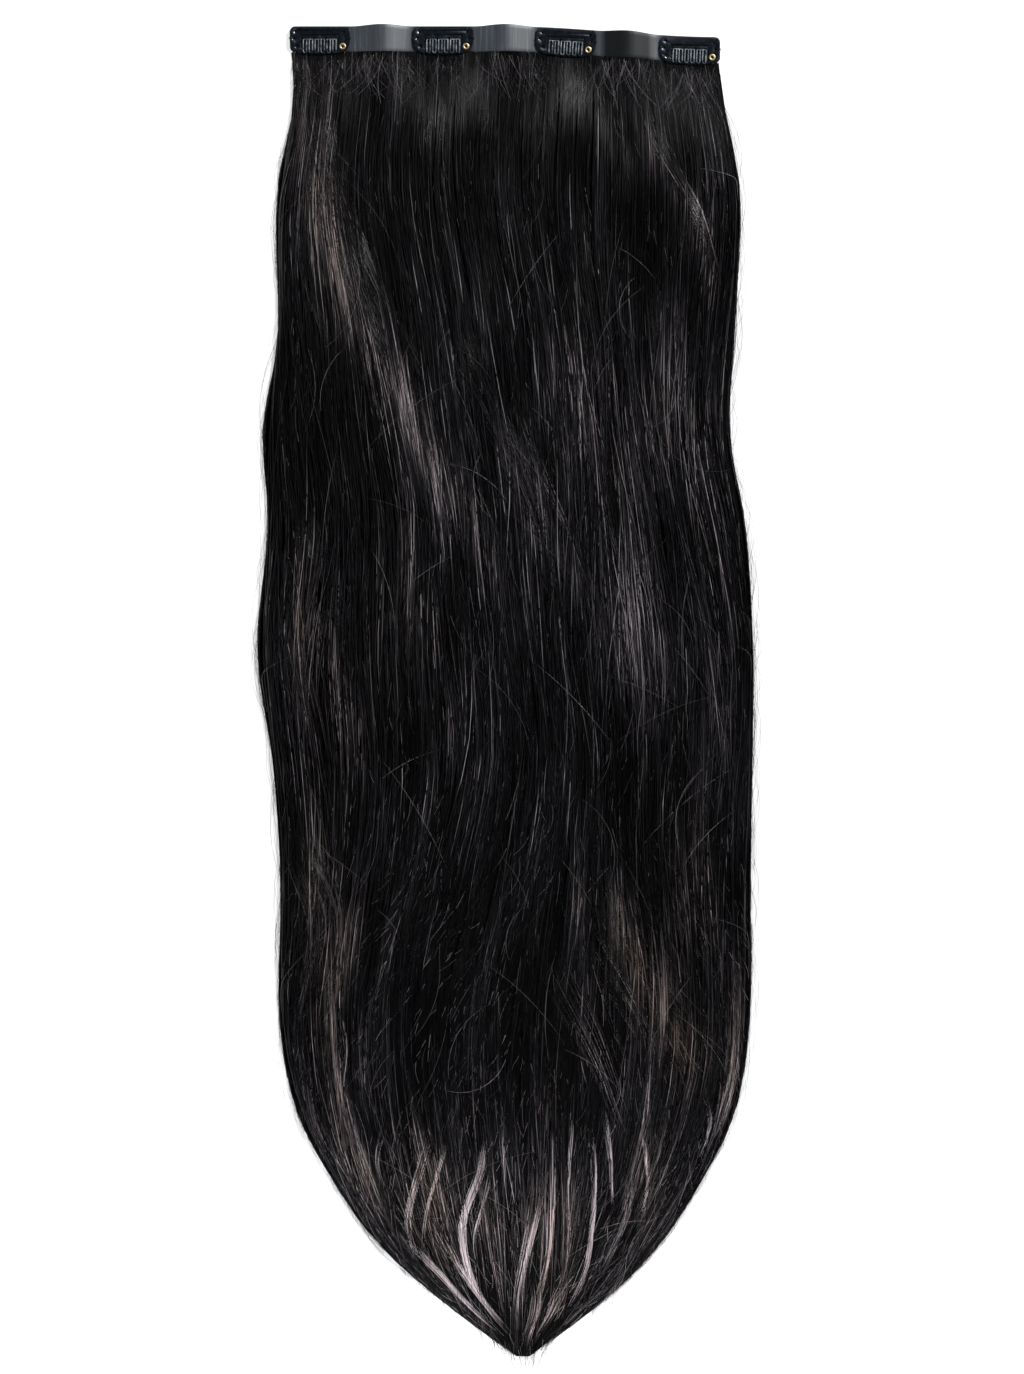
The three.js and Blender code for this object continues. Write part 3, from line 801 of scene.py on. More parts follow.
# %% Edge strands
EDGE_STRANDS = 60
EDGE_FROM = 0.008
edge_count = 2 * EDGE_STRANDS
edge_side = np.repeat([0.0, 1.0], EDGE_STRANDS)[:, None]
edge_end = draw(edge_count, 0.9, 1.0)
edge_along = EDGE_FROM + (edge_end - EDGE_FROM) * progress
edge_mm = edge_along * HAIR_LENGTH
edge_left, edge_right = outline(edge_along)
outward = np.where(edge_side > 0.5, 1, -1)
edge_out = 0.2 + 0.3 * draw(edge_count) + waves(edge_count, 90, 260, 0.3, 2, edge_mm)
edge_x = np.where(edge_side > 0.5, edge_right, edge_left) + outward * edge_out * smooth(edge_mm / 40)
edge_points = over_hair(edge_x, hair_y(edge_x, edge_along), 0.0)
edge_down = draw(edge_count, 0.05, 1.0) + waves(edge_count, 150, 400, 0.1, 2, edge_mm)
edge_points[..., 2] = np.maximum(edge_points[..., 2] * np.clip(edge_down, 0.05, 1.05), 0.25 * MM)
edge_tone = 0.8 * draw(edge_count) ** 1.5
add_hair("hair_edge_strands", edge_points, STRAND_WIDTH * end_taper(edge_end, edge_along), edge_tone)

# %% Baby hairs at the band
BABY_COUNT = 620
baby_t = np.linspace(0, 1, 7)[None, :]
baby_station = draw(BABY_COUNT, -0.495, 0.495) * BAND_LENGTH
under_clip = np.mod(baby_station + BAND_LENGTH / 2, clip_pitch) < CLIP_LENGTH + 0.6
baby_length = draw(BABY_COUNT, 5, 22)
baby_from = np.where(under_clip, draw(BABY_COUNT, 2.2, 7), draw(BABY_COUNT, 0.2, 5))
lean = rng.normal(0, 0.3, (BABY_COUNT, 1))
bend = rng.normal(0, 0.4, (BABY_COUNT, 1))
baby_x = baby_station + baby_length * (lean * baby_t + bend * baby_t**2)
baby_x = np.clip(baby_x, -BAND_LENGTH / 2 + 0.4, BAND_LENGTH / 2 - 0.4)
baby_y = droop_at(baby_x) - BAND_WIDTH - baby_from - baby_length * baby_t
baby_above = 0.1 + draw(BABY_COUNT, 0, 1.2) * baby_t * ~under_clip
baby_above = baby_above + 0.9 * smooth((-baby_y - BAND_WIDTH - 4) / 25)
# a light tone: a painted highlight on the baby hairs that rise from the film
baby_tone = 0.58 + 0.36 * draw(BABY_COUNT) ** 1.5
add_hair("hair_baby_hairs", over_hair(baby_x, baby_y, baby_above), 0.22 * (1.1 - 0.7 * baby_t), baby_tone)

# %% [markdown]
# ## Short hairs and flyaways
#
# Hair that has been handled is never quite smooth. Thousands of short ends leave their locks and turn a little, and
# each is given a light tone, a painted glint, so that it shows as a fine light line of a few millimetres. Single long
# hairs are lifted by static and lie over the others in wide arcs, and their light grey tone is a painted highlight.
# Along the point, broken and shorter hairs stick out.

# %% A helper for hairs that leave the flow


def curling_lines(x, y, heading, length, bending, steps):
    """Lines that start at a place with a heading and turn evenly. Heading 0 goes down the hair."""
    t = np.linspace(0, 1, steps)[None, :]
    angle = heading + bending * t
    step = length / (steps - 1)
    ways = np.stack([np.sin(angle) * step, -np.cos(angle) * step])
    sums = np.cumsum(ways, axis=2) - ways[:, :, :1]
    return x + sums[0], y + sums[1], t


def flow_heading(across, along):
    """The direction of the flow at a place, as an angle from straight down."""
    step = 0.012
    here, there = flow_x(across, along), flow_x(across, np.minimum(along + step, 1))
    return np.arctan2(there - here, step * HAIR_LENGTH)


def stay_on(x, y, margin):
    """Keeps lines that are no longer on the flow inside the outline."""
    return keep_inside(x, np.clip(along_at(x, y), 0, 1), margin)


# %% Short hairs
SHORT_COUNT = 3600
short_along = draw(SHORT_COUNT, 0.02, 0.96) ** 0.8
short_across = draw(SHORT_COUNT, 0.01, 0.99)
short_rough = 0.09 + 0.09 * smooth((short_along - 0.3) / 0.4)
parting = np.tanh(5 * (short_across - 0.56)) * smooth((short_along - 0.56) / 0.12) * smooth((0.9 - short_along) / 0.1)
short_heading = flow_heading(short_across, short_along) + 0.42 * parting
short_heading = short_heading + rng.normal(0, 1, (SHORT_COUNT, 1)).clip(-1.6, 1.6) * short_rough
short_length = 3 + rng.exponential(5, (SHORT_COUNT, 1)).clip(0, 20)
short_bend = rng.normal(0, 1, (SHORT_COUNT, 1)) * (0.2 + 0.5 * short_rough)
short_x = flow_x(short_across, short_along)
short_y = hair_y(short_x, short_along)
short_x, short_y, short_t = curling_lines(short_x, short_y, short_heading, short_length, short_bend, 5)
short_x = stay_on(short_x, short_y, 0.6)
short_above = 1.15 + draw(SHORT_COUNT, 0, 0.7) + 0.7 * short_t * draw(SHORT_COUNT)
short_above = short_above * smooth(along_at(short_x, short_y) * HAIR_LENGTH / 30)
# a light tone, a painted glint, a little lighter towards the point
short_tone = 0.66 + 0.28 * draw(SHORT_COUNT) ** 1.2 + 0.06 * smooth((short_along - 0.4) / 0.35)
short_thick = draw(SHORT_COUNT, 0.09, 0.17) * (1 - 0.5 * short_t)
add_hair("hair_short_hairs", over_hair(short_x, short_y, short_above), short_thick, short_tone)

# %% Flyaways
FLYAWAY_COUNT = 130
fly_along = draw(FLYAWAY_COUNT, 0.06, 0.9)
fly_across = draw(FLYAWAY_COUNT, 0.02, 0.98)
fly_side = np.where(draw(FLYAWAY_COUNT) < 0.5, -1, 1)
fly_heading = flow_heading(fly_across, fly_along) + fly_side * draw(FLYAWAY_COUNT, 0.15, 1.3) ** 1.3
fly_bend = -fly_side * (0.2 + rng.exponential(0.55, (FLYAWAY_COUNT, 1)).clip(0, 1.8))
fly_x = flow_x(fly_across, fly_along)
fly_y = hair_y(fly_x, fly_along)
fly_x, fly_y, fly_t = curling_lines(fly_x, fly_y, fly_heading, draw(FLYAWAY_COUNT, 16, 62), fly_bend, 15)
fly_x = stay_on(fly_x, fly_y, 0.4)
fly_above = 1.7 + draw(FLYAWAY_COUNT, 0, 1.2) * np.sin(np.pi * fly_t) ** 0.5
# a light grey tone, a painted highlight on the lifted hairs
fly_tone = 0.84 + 0.13 * draw(FLYAWAY_COUNT)
fly_thick = draw(FLYAWAY_COUNT, 0.1, 0.16) * np.clip(1.3 - np.abs(2 * fly_t - 1), 0.4, 1)
add_hair("hair_flyaways", over_hair(fly_x, fly_y, fly_above), fly_thick, fly_tone)

# %% Frayed ends
FRAY_COUNT = 600
FRAY_TIP_SHARE = 0.22
FRAY_STEP = 0.015
fray_side = rng.integers(0, 2, (FRAY_COUNT, 1))
at_tip = draw(FRAY_COUNT) < FRAY_TIP_SHARE
fray_along = np.where(at_tip, draw(FRAY_COUNT, 0.97, 1.0), draw(FRAY_COUNT, 0.78, 1.0))
fray_left, fray_right = outline(fray_along)
fray_share = np.where(at_tip, draw(FRAY_COUNT), np.where(fray_side > 0, 0.985, 0.015))
fray_x = fray_left + (fray_right - fray_left) * fray_share
ahead_left, ahead_right = outline(np.minimum(fray_along, 1 - FRAY_STEP) + FRAY_STEP)
fray_flow = np.arctan2(ahead_left + (ahead_right - ahead_left) * fray_share - fray_x, FRAY_STEP * HAIR_LENGTH)
fray_heading = fray_flow * draw(FRAY_COUNT, 0.35, 0.95) + rng.normal(0, 0.12, (FRAY_COUNT, 1))
fray_length = np.where(at_tip, draw(FRAY_COUNT, 5, 13), draw(FRAY_COUNT, 5, 22))
fray_y = hair_y(fray_x, fray_along)
fray_x, fray_y, fray_t = curling_lines(fray_x, fray_y, fray_heading, fray_length, -0.6 * fray_flow, 8)
fray_top = hair_height(fray_share, fray_along, 0.0) * draw(FRAY_COUNT, 0.3, 0.9)
fray_points = to_frame(fray_x, fray_y, np.maximum(fray_top * (1 - 0.9 * fray_t), 0.2))
fray_tone = 0.2 + 0.75 * draw(FRAY_COUNT)
add_hair("hair_frayed_ends", fray_points, 0.17 * (1 - 0.7 * fray_t), fray_tone)

# %% Fuzz along the sides
FUZZ_COUNT = 600
FUZZ_WIDTH = 0.12
fuzz_t = np.linspace(0, 1, 9)[None, :]
fuzz_side = rng.integers(0, 2, (FUZZ_COUNT, 1))
fuzz_from = draw(FUZZ_COUNT, 0.02, 0.9)
fuzz_along = fuzz_from + draw(FUZZ_COUNT, 18, 60) / HAIR_LENGTH * fuzz_t
fuzz_left, fuzz_right = outline(fuzz_along)
fuzz_out = -0.4 + (0.5 + rng.exponential(1.6, (FUZZ_COUNT, 1))).clip(0, 5.0) * np.sin(np.pi * fuzz_t)
fuzz_x = np.where(fuzz_side > 0, fuzz_right + fuzz_out, fuzz_left - fuzz_out)
fuzz_points = over_hair(fuzz_x, hair_y(fuzz_x, fuzz_along), 0.0)
fuzz_points[..., 2] = np.maximum(fuzz_points[..., 2] * draw(FUZZ_COUNT, 0.1, 1.0), 0.25 * MM)
add_hair("hair_side_fuzz", fuzz_points, FUZZ_WIDTH, draw(FUZZ_COUNT, 0.2, 0.9))

# %% [markdown]
# ## Locks with a painted sheen
#
# Some locks stand out from the dark rest: a long sweep at the upper left, an S in the middle, a wavy brown lock low
# on the left, and grey streaks side by side in the point. They lie a little above the rest, and their light tone is a
# painted sheen.
# They are laid one by one. Each row of the table gives a few places that a lock passes through, in millimetres from
# the middle of the band's upper edge, then its half width, how far it stands above the rest, its tone and its number
# of strands.

# %% Table of placed locks
PLACED_LOCKS = [
    (((-94, -20), (-92, -48), (-85, -81), (-74, -111), (-56, -148), (-34, -188), (-13, -229)), 8, 0.7, 0.6, 80),
    (((-85, -34), (-78, -71), (-67, -104), (-49, -141), (-26, -183)), 4, 0.9, 0.72, 40),
    (((-97, -39), (-98, -76), (-94, -113), (-81, -150), (-72, -188)), 4, 0.5, 0.56, 26),
    (((-25, -127), (-16, -164), (0, -197), (20, -239), (40, -285)), 8, 0.9, 0.7, 64),
    (((7, -174), (16, -206), (33, -243), (44, -271)), 3, 1.1, 0.84, 24),
    (((24, -118), (31, -155), (35, -192), (46, -234), (63, -276), (68, -313)), 8, 0.7, 0.67, 60),
    (((63, -37), (70, -57), (85, -83), (97, -110), (101, -141)), 4, 0.9, 0.72, 40),
    (((68, -39), (78, -62), (92, -88), (101, -118)), 1.6, 1.1, 0.84, 14),
    (((91, -23), (101, -48), (105, -76)), 2.4, 0.5, 0.7, 18),
    (((42, -81), (58, -113), (78, -148), (92, -183), (102, -220)), 10, 0.2, 0.45, 34),
    (((49, -229), (60, -262), (70, -295), (78, -332)), 9, 0.8, 0.68, 60),
    (((43, -248), (53, -285), (63, -322)), 4, 0.6, 0.6, 24),
    (((-102, -188), (-96, -225), (-81, -262), (-71, -299), (-72, -336)), 6, 0.6, 0.56, 40),
    (((-95, -234), (-99, -267), (-96, -295), (-87, -327), (-81, -360)), 6, 0.9, 0.7, 52),
    (((-90, -248), (-93, -276), (-88, -309)), 2.4, 1.0, 0.78, 18),
    (((-94, -360), (-97, -388), (-88, -418), (-92, -446), (-95, -471), (-85, -499)), 6, 0.9, 0.76, 56),
    (((-95, -374), (-80, -404), (-78, -432), (-87, -462)), 4, 1.1, 0.8, 34),
    (((-100, -446), (-94, -481), (-89, -511), (-73, -535), (-56, -559)), 4, 0.7, 0.78, 40),
    (((-79, -453), (-78, -488), (-71, -527)), 3, 0.7, 0.86, 24),
    (((-77, -457), (-74, -476), (-75, -495)), 1.0, 1.0, 1.1, 12),
    (((37, -388), (51, -415), (72, -446), (95, -474)), 9, 0.7, 0.66, 56),
    (((44, -434), (67, -462), (88, -495)), 6, 0.6, 0.66, 36),
    (((30, -396), (47, -434), (72, -470), (96, -502)), 17, 0.5, 0.84, 34),
    (((18, -418), (33, -455), (54, -494), (72, -528)), 14, 0.5, 0.82, 26),
    (((62, -360), (76, -392), (92, -424), (104, -452)), 12, 0.5, 0.78, 22),
    (((-51, -559), (-35, -575), (-17, -594), (-2, -607)), 2.2, 0.9, 1.08, 36),
    (((-32, -556), (-20, -579), (-7, -596), (3, -608)), 2.0, 1.0, 1.1, 36),
    (((-34, -514), (-42, -538), (-45, -556), (-40, -574)), 2.2, 0.9, 1.0, 32),
    (((-27, -518), (-36, -548), (-38, -570)), 1.4, 0.9, 1.05, 18),
    (((-8, -508), (-12, -532), (-20, -555), (-18, -573), (-12, -588), (0, -604)), 2.4, 1.0, 1.08, 50),
    (((-5, -522), (-11, -548), (-14, -562), (-12, -577)), 1.8, 0.8, 0.98, 22),
    (((17, -530), (11, -560), (7, -586), (6, -606)), 3.0, 0.9, 1.0, 46),
    (((22, -523), (21, -550), (20, -572), (15, -595)), 1.8, 1.0, 1.08, 34),
    (((31, -508), (29, -535), (30, -565)), 1.3, 1.1, 1.12, 24),
    (((40, -512), (41, -538), (40, -561), (38, -577), (30, -595)), 1.5, 1.0, 1.08, 28),
    (((46, -504), (49, -528), (50, -550)), 1.1, 1.0, 1.1, 16),
    (((64, -512), (66, -535), (64, -558)), 1.2, 1.0, 1.1, 20),
    (((57, -526), (56, -552), (44, -582)), 2.0, 0.7, 0.92, 24),
    (((13, -581), (13, -598), (10, -614)), 4, 0.6, 0.96, 34),
    (((27, -580), (21, -598), (15, -612)), 3.2, 0.6, 0.93, 26),
    (((94, -497), (95, -512), (90, -528)), 1.2, 0.8, 1.08, 12),
    (((108, -471), (104, -499), (93, -528)), 1.2, 0.7, 1.08, 18),
    (((88, -535), (77, -556), (63, -575)), 1.8, 0.5, 0.86, 14),
    (((-56, -508), (-60, -527), (-53, -546)), 2.2, 0.6, 0.86, 14),
]
print(len(PLACED_LOCKS), "placed locks")

# %% Placed locks
PLACED_POINTS = 22
placed_t = np.linspace(0, 1, PLACED_POINTS)


def through(stops, t):
    """A smooth curve through a few stops, with t from 0 to 1 along it."""
    stops = np.array(stops, float)
    distance = np.concatenate([[0], np.cumsum(np.linalg.norm(np.diff(stops, axis=0), axis=1))])
    table = {"t": distance / distance[-1], "x": stops[:, 0], "y": stops[:, 1]}
    return read_table(table, "x", t, "t"), read_table(table, "y", t, "t"), distance[-1]


placed_points, placed_thick, placed_tone = [], [], []
for stops, half, above, tone_here, count in PLACED_LOCKS:
    begin = draw(count, -0.08, 0.32).clip(0, 1)
    end = 1 - draw(count, -0.1, 0.3).clip(0, 1)
    t = begin + (end - begin) * placed_t
    x, y, distance = through(stops, t)
    place = draw(count, -1, 1)
    fan = 0.45 + 0.55 * np.sin(np.pi * (0.15 + 0.7 * t))
    x = x + half * place * fan + waves(count, 40, 110, 0.22, 2, t * distance) + 0.35 * half * np.sin(5 * t + place)
    ends = np.clip(np.minimum(placed_t, 1 - placed_t) * 6, 0, 1)
    fading = np.clip(np.minimum(placed_t, 1 - placed_t) * 2.6, 0, 1)
    height = 0.5 + above * ends * np.sqrt(1 - 0.8 * place**2) + draw(count, 0, 0.5) * ends
    x = stay_on(x, y, draw(count, 0.2, 1.4))
    # a light tone for each strand: the painted sheen of the lock
    light = tone_here + rng.normal(0, 0.1, (count, 1)) - 0.35 * (draw(count) < 0.3)
    placed_points.append(over_hair(x, y, height))
    placed_thick.append(0.24 * (0.3 + 0.7 * ends) * draw(count, 0.7, 1.2))
    placed_tone.append(np.clip(light - 0.3 * (1 - fading), 0, 1))
add_hair("hair_locks_with_painted_sheen", *[np.concatenate(rows) for rows in (placed_points, placed_thick, placed_tone)])

# %% Hair on the weft
for piece in hair_pieces:
    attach(piece, "weft")
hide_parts("hair")
print("hair pieces:", [piece.name for piece in hair_pieces])

# %% [markdown]
# ## Finish: polyurethane film band
#
# The hairs are laid side by side between two films of black polyurethane and welded. The film is soft and
# satin, and the hairs inside show through as faint lines that run across the band. The band's box in the model
# is exact but sharp. This copy follows the same curve, with rounded edges and ends.
#
# The film is a lighter grey along most of the band. Under the clips, and on the arch between the last two, a ramp
# along the band keeps it deep black and less glossy, a painted shade.
# The film's index of refraction, 1.8, is higher than plain polyurethane's 1.5. It was set to match the shine of the
# band in the photograph.

# %% Film material
SHADE_FADE = 3.0
SHADE_HALF = 12.0
# stretches of painted shade: under each clip, and on the arch between the last two
painted_shade_stretches = [(station - SHADE_HALF, station + SHADE_HALF) for station in clip_stations] + [(47.0, 66.5)]

grey_and_painted_shade_stops = []
for start, end in sorted(painted_shade_stretches):
    grey_and_painted_shade_stops += [(start - SHADE_FADE, "#ffffff"), (start, "#000000"), (end, "#000000"), (end + SHADE_FADE, "#ffffff")]
grey_and_painted_shade_stops = [(0.5 + station / BAND_LENGTH, colour) for station, colour in grey_and_painted_shade_stops]

film, tree, shader, place = new_material("black_polyurethane_film")
hair_lines = add_noise(tree, place, (0.9, 22, 10), 4.0, 0.65)
place_x = add_node(tree, "ShaderNodeSeparateXYZ", {"Vector": place}, give="X")
band_ends = [(MIDDLE_X + side * BAND_LENGTH / 2) * MM for side in (-1, 1)]
share_along = add_range(tree, place_x, 0.0, 1.0, *band_ends)
# grey where the ramp is 1; deep black and less glossy where it is 0, a painted shade
grey_outside_painted_shade = add_ramp(tree, share_along, [stop for stop in grey_and_painted_shade_stops if 0 < stop[0] < 1])
film_stops = [(0.0, "#14171b"), (0.3, "#3a4047"), (0.55, "#50575f"), (0.75, "#7d858d")]
film_inputs = {
    "Base Color": add_ramp(tree, add_math(tree, "MULTIPLY", hair_lines, grey_outside_painted_shade), film_stops),
    "Roughness": add_range(tree, add_noise(tree, place, 9, 3.0, 0.6), 0.34, 0.48),
    "Normal": add_bump(tree, hair_lines, 0.5, 0.12),
    "Coat Weight": add_range(tree, grey_outside_painted_shade, 0.3, 1.0),
    "Specular IOR Level": add_range(tree, grey_outside_painted_shade, 0.22, 0.5),
    "IOR": 1.8,
    "Coat Roughness": 0.38,
}
set_inputs(shader, film_inputs)
print("film material ready")

# %% Band
BAND_STEP = 1.1
EDGE_ROUND = 0.45
EDGE_BULGE = 0.8

stations = np.arange(-BAND_LENGTH / 2 + 1.6, BAND_LENGTH / 2 - 1.6 + 0.001, BAND_STEP)
near_end = np.array([0.0, 0.06, 0.18, 0.36, 0.6, 0.95, 1.3])
stations = np.concatenate([-BAND_LENGTH / 2 + near_end, stations, (BAND_LENGTH / 2 - near_end)[::-1]])
angles = np.linspace(0, np.pi / 2, 5)
half_thick = BAND_THICKNESS / 2
rings = []
for station in stations:
    end_gap = BAND_LENGTH / 2 - abs(station)
    corner = max(BAND_CORNER - end_gap, 0)
    cut = BAND_CORNER - math.sqrt(BAND_CORNER**2 - corner**2)
    round_end = max(EDGE_ROUND - end_gap, 0)
    thin = half_thick - (EDGE_ROUND - math.sqrt(max(EDGE_ROUND**2 - round_end**2, 0)))
    radius = min(EDGE_ROUND, thin)
    middle_z = BAND_FLOOR_GAP + half_thick + float(arch_at(np.array(station)))
    droop = float(droop_at(np.array(station)))
    bulge = EDGE_BULGE * float(arch_at(np.array(station))) / BAND_ARCH
    upper, lower = bulge - cut, -(BAND_WIDTH - cut)
    sides = np.linspace(upper - radius, lower + radius, 9)[1:-1]
    section = [(upper - radius + radius * math.sin(a), thin - radius + radius * math.cos(a)) for a in angles[::-1]]
    section += [(y, thin) for y in sides]
    section += [(lower + radius - radius * math.sin(a), thin - radius + radius * math.cos(a)) for a in angles]
    section += [(y, -z) for y, z in section[::-1]]
    section = np.array(section)
    rings.append(to_frame(np.full(len(section), station), section[:, 0] + droop, section[:, 1] + middle_z))
points, faces = wrap_rings(np.array(rings))
band = mesh_object("weft_film_band", points, faces, film)
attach(band, "weft")
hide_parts("weft_band")
print("band faces:", len(band.data.polygons))

# %% [markdown]
# ## Finish: black lacquered spring steel
#
# The snap clips are stamped from thin spring steel and dipped in black lacquer. The lacquer is smooth and has a
# slightly blue reflection, and its film is a little uneven. The comb's teeth are given a light grey, a painted
# reflection of their rounded wires, and where they lie low under the plate, at the rail, the colour is darkened, a
# painted shade.
# The CAD pieces have the right form but knife-sharp edges, so each is copied, its loose
# triangles are merged, and a small bevel rounds the edges and catches the light.

# %% Lacquer material


def make_lacquer(name, stops, metallic, shade_share=0.0, low=0.0, high=1.0):
    """Lacquered steel, darker by a share of its ramp where it stands below a height, in metres: a painted shade."""
    material, tree, shader, place = new_material(name)
    blotch = add_noise(tree, place, 2.2, 4.0, 0.65)
    height = add_node(tree, "ShaderNodeSeparateXYZ", {"Vector": place}, give="Z")
    # painted shade: the ramp is darkened where the piece stands low
    painted_shade = add_range(tree, height, shade_share, 0.0, low, high)
    lacquer_inputs = {
        "Base Color": add_ramp(tree, add_math(tree, "SUBTRACT", blotch, painted_shade), stops),
        "Roughness": add_range(tree, blotch, 0.2, 0.42),
        "Normal": add_bump(tree, add_noise(tree, place, 0.9, 2.0), 0.25, 0.05),
        "Metallic": metallic,
        "Coat Weight": 0.6,
        "Coat Roughness": 0.12,
    }
    set_inputs(shader, lacquer_inputs)
    return material


lacquer_stops = [(0.35, "#1b2027"), (0.6, "#2a323d"), (0.78, "#4a5563")]
lacquer = make_lacquer("black_lacquered_spring_steel", lacquer_stops, 0.55)
# the teeth's light grey stops are a painted reflection; below 2.8 mm the ramp is darkened, a painted shade under the
# plate
teeth_painted_reflection_stops = [(0.2, "#171c22"), (0.35, "#3f4955"), (0.5, "#a5b0bb"), (0.68, "#f2f6fa")]
teeth_lacquer_painted_light = make_lacquer("rubbed_lacquer_on_spring_steel", teeth_painted_reflection_stops, 0.35, 0.35, 2.8 * MM, 3.3 * MM)
print("lacquers:", lacquer.name, teeth_lacquer_painted_light.name)

# %% Clip places
CLIP_INSET = 0.6
PLATE_BOTTOM = 1.7
PLATE_THICKNESS = 0.5
WINDOW_HALF = 8.87
PLATE_LIFT = 0.7
PLATE_TOP = PLATE_BOTTOM + PLATE_THICKNESS

clip_places = []
for number in range(CLIP_COUNT):
    station = -(BAND_LENGTH - CLIP_LENGTH) / 2 + number * clip_pitch
    quarter = CLIP_LENGTH / 4
    turn_angle = math.atan2(float(droop_at(station + quarter) - droop_at(station - quarter)), 2 * quarter)
    clip_places.append((station, float(droop_at(station)) - CLIP_INSET, turn_angle))


def clip_to_frame(number, points):
    """Points in a clip's own millimetres, from the middle of its back edge, as metres in the frame."""
    points = np.asarray(points, float)
    station, level, angle = clip_places[number]
    x = points[:, 0] * math.cos(angle) - points[:, 1] * math.sin(angle)
    y = points[:, 0] * math.sin(angle) + points[:, 1] * math.cos(angle)
    return to_frame(x + station, y + level, points[:, 2])


def plate_lift(local_x):
    """The spring's end plates bow up a little from the window's sides to the clip's ends."""
    past = np.clip((np.abs(local_x) - WINDOW_HALF) / (CLIP_LENGTH / 2 - WINDOW_HALF), 0, 1)
    return PLATE_LIFT * past**1.5


print("clips:", [tuple(round(v, 3) for v in place) for place in clip_places])

# %% Rounded copies of the clips
PLATE_ROUND = 0.13
TEETH_ROUND = 0.2


def rounded_copy(node, name, material, body, rounding, bend=None):
    """A merged copy of a node, bent if a function is given, with a small bevel on its sharp edges."""
    shape = bmesh.new()
    shape.from_mesh(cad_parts[node].data)
    bmesh.ops.remove_doubles(shape, verts=shape.verts, dist=0.002 * MM)
    bmesh.ops.dissolve_limit(
        shape, angle_limit=math.radians(1.0), verts=shape.verts, edges=shape.edges
    )
    if bend is not None:
        bmesh.ops.triangulate(shape, faces=shape.faces)
        for vert in shape.verts:
            vert.co.z += bend(vert.co)
    mesh = bpy.data.meshes.new(name)
    shape.to_mesh(mesh)
    shape.free()
    mesh.materials.clear()
    mesh.materials.append(material)
    mesh.shade_smooth()
    piece = bpy.data.objects.new(name, mesh)
    bpy.context.scene.collection.objects.link(piece)
    bevel = piece.modifiers.new("rounded_edges", "BEVEL")
    bevel.width = rounding * MM
    bevel.segments = 2
    bevel.limit_method = "ANGLE"
    bevel.angle_limit = math.radians(35)
    bevel.harden_normals = True
    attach(piece, body)
    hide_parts(node)
    return piece


for number in range(CLIP_COUNT):
    station, level, angle = clip_places[number]

    def bow(point, station=station, level=level, angle=angle):
        x = point.x / MM - MIDDLE_X - station
        y = point.y / MM - TOP_Y - level
        return float(plate_lift(x * math.cos(angle) + y * math.sin(angle))) * MM

    plate = rounded_copy(
        f"clip_{number + 1}_frame", f"clip_{number + 1}_plate", lacquer, "weft", PLATE_ROUND, bow
    )
    comb = rounded_copy(
        f"clip_{number + 1}_comb", f"clip_{number + 1}_teeth", teeth_lacquer_painted_light, f"comb_{number + 1}", TEETH_ROUND
    )
    print(plate.name, len(plate.data.polygons), "faces;", comb.name, len(comb.data.polygons), "faces")

# %% [markdown]
# ## Brass eyelets
#
# The lower right hole of each clip is lined with a small rolled brass eyelet. All four are alike, so one tree
# makes the rolled rim and the barrel once, from the bore and the outer radius, and puts a copy at each point.
# Brass is a metal: its colour is that of its reflection, a warm yellow.

# %% Brass material
brass, tree, shader, place = new_material("rolled_brass")
tarnish = add_noise(tree, place, 0.8, 4.0, 0.6)
brass_colour = add_ramp(tree, tarnish, [(0.3, "#efcf96"), (0.55, "#ffebb8"), (0.8, "#fff6dc")])
brass_gloss = add_range(tree, tarnish, 0.3, 0.52)
set_inputs(shader, {"Base Color": brass_colour, "Roughness": brass_gloss, "Metallic": 1.0})
print("brass ready")

# %% Eyelets
EYELET_BORE = 0.6
EYELET_RADIUS = 1.6
EYELET_HEIGHT = 0.4
EYELET_BARREL = 0.95
EYELET_PLACE = (10.57, -8.9)

eyelet_tree, given = new_tree(
    "rolled_eyelets",
    {
        "Rim middle": "NodeSocketFloat",
        "Rim width": "NodeSocketFloat",
        "Rim flatness": "NodeSocketFloat",
        "Barrel middle": "NodeSocketFloat",
        "Barrel wall": "NodeSocketFloat",
        "Barrel depth": "NodeSocketFloat",
        "Material": "NodeSocketMaterial",
    },
)
rim_inputs = {
    "Curve": add_node(
        eyelet_tree, "GeometryNodeCurvePrimitiveCircle", {"Resolution": 40, "Radius": given["Rim middle"]}
    ),
    "Profile Curve": add_node(eyelet_tree, "GeometryNodeCurvePrimitiveCircle", {"Resolution": 14, "Radius": 0.5}),
    "Scale": given["Rim width"],
}
rim = add_node(eyelet_tree, "GeometryNodeCurveToMesh", rim_inputs)
flat = add_node(eyelet_tree, "ShaderNodeCombineXYZ", {"X": 1.0, "Y": 1.0, "Z": given["Rim flatness"]})
flat_rim = add_node(eyelet_tree, "GeometryNodeTransform", {"Geometry": rim, "Scale": flat})

barrel_path = add_node(
    eyelet_tree, "GeometryNodeCurvePrimitiveCircle", {"Resolution": 40, "Radius": given["Barrel middle"]}
)
barrel_profile = add_node(
    eyelet_tree,
    "GeometryNodeCurvePrimitiveQuadrilateral",
    {"Width": given["Barrel wall"], "Height": given["Barrel depth"]},
    mode="RECTANGLE",
)
barrel = add_node(eyelet_tree, "GeometryNodeCurveToMesh", {"Curve": barrel_path, "Profile Curve": barrel_profile})
half_down = add_math(eyelet_tree, "MULTIPLY", given["Barrel depth"], -0.5)
down = add_node(eyelet_tree, "ShaderNodeCombineXYZ", {"Z": half_down})
low_barrel = add_node(eyelet_tree, "GeometryNodeTransform", {"Geometry": barrel, "Translation": down})

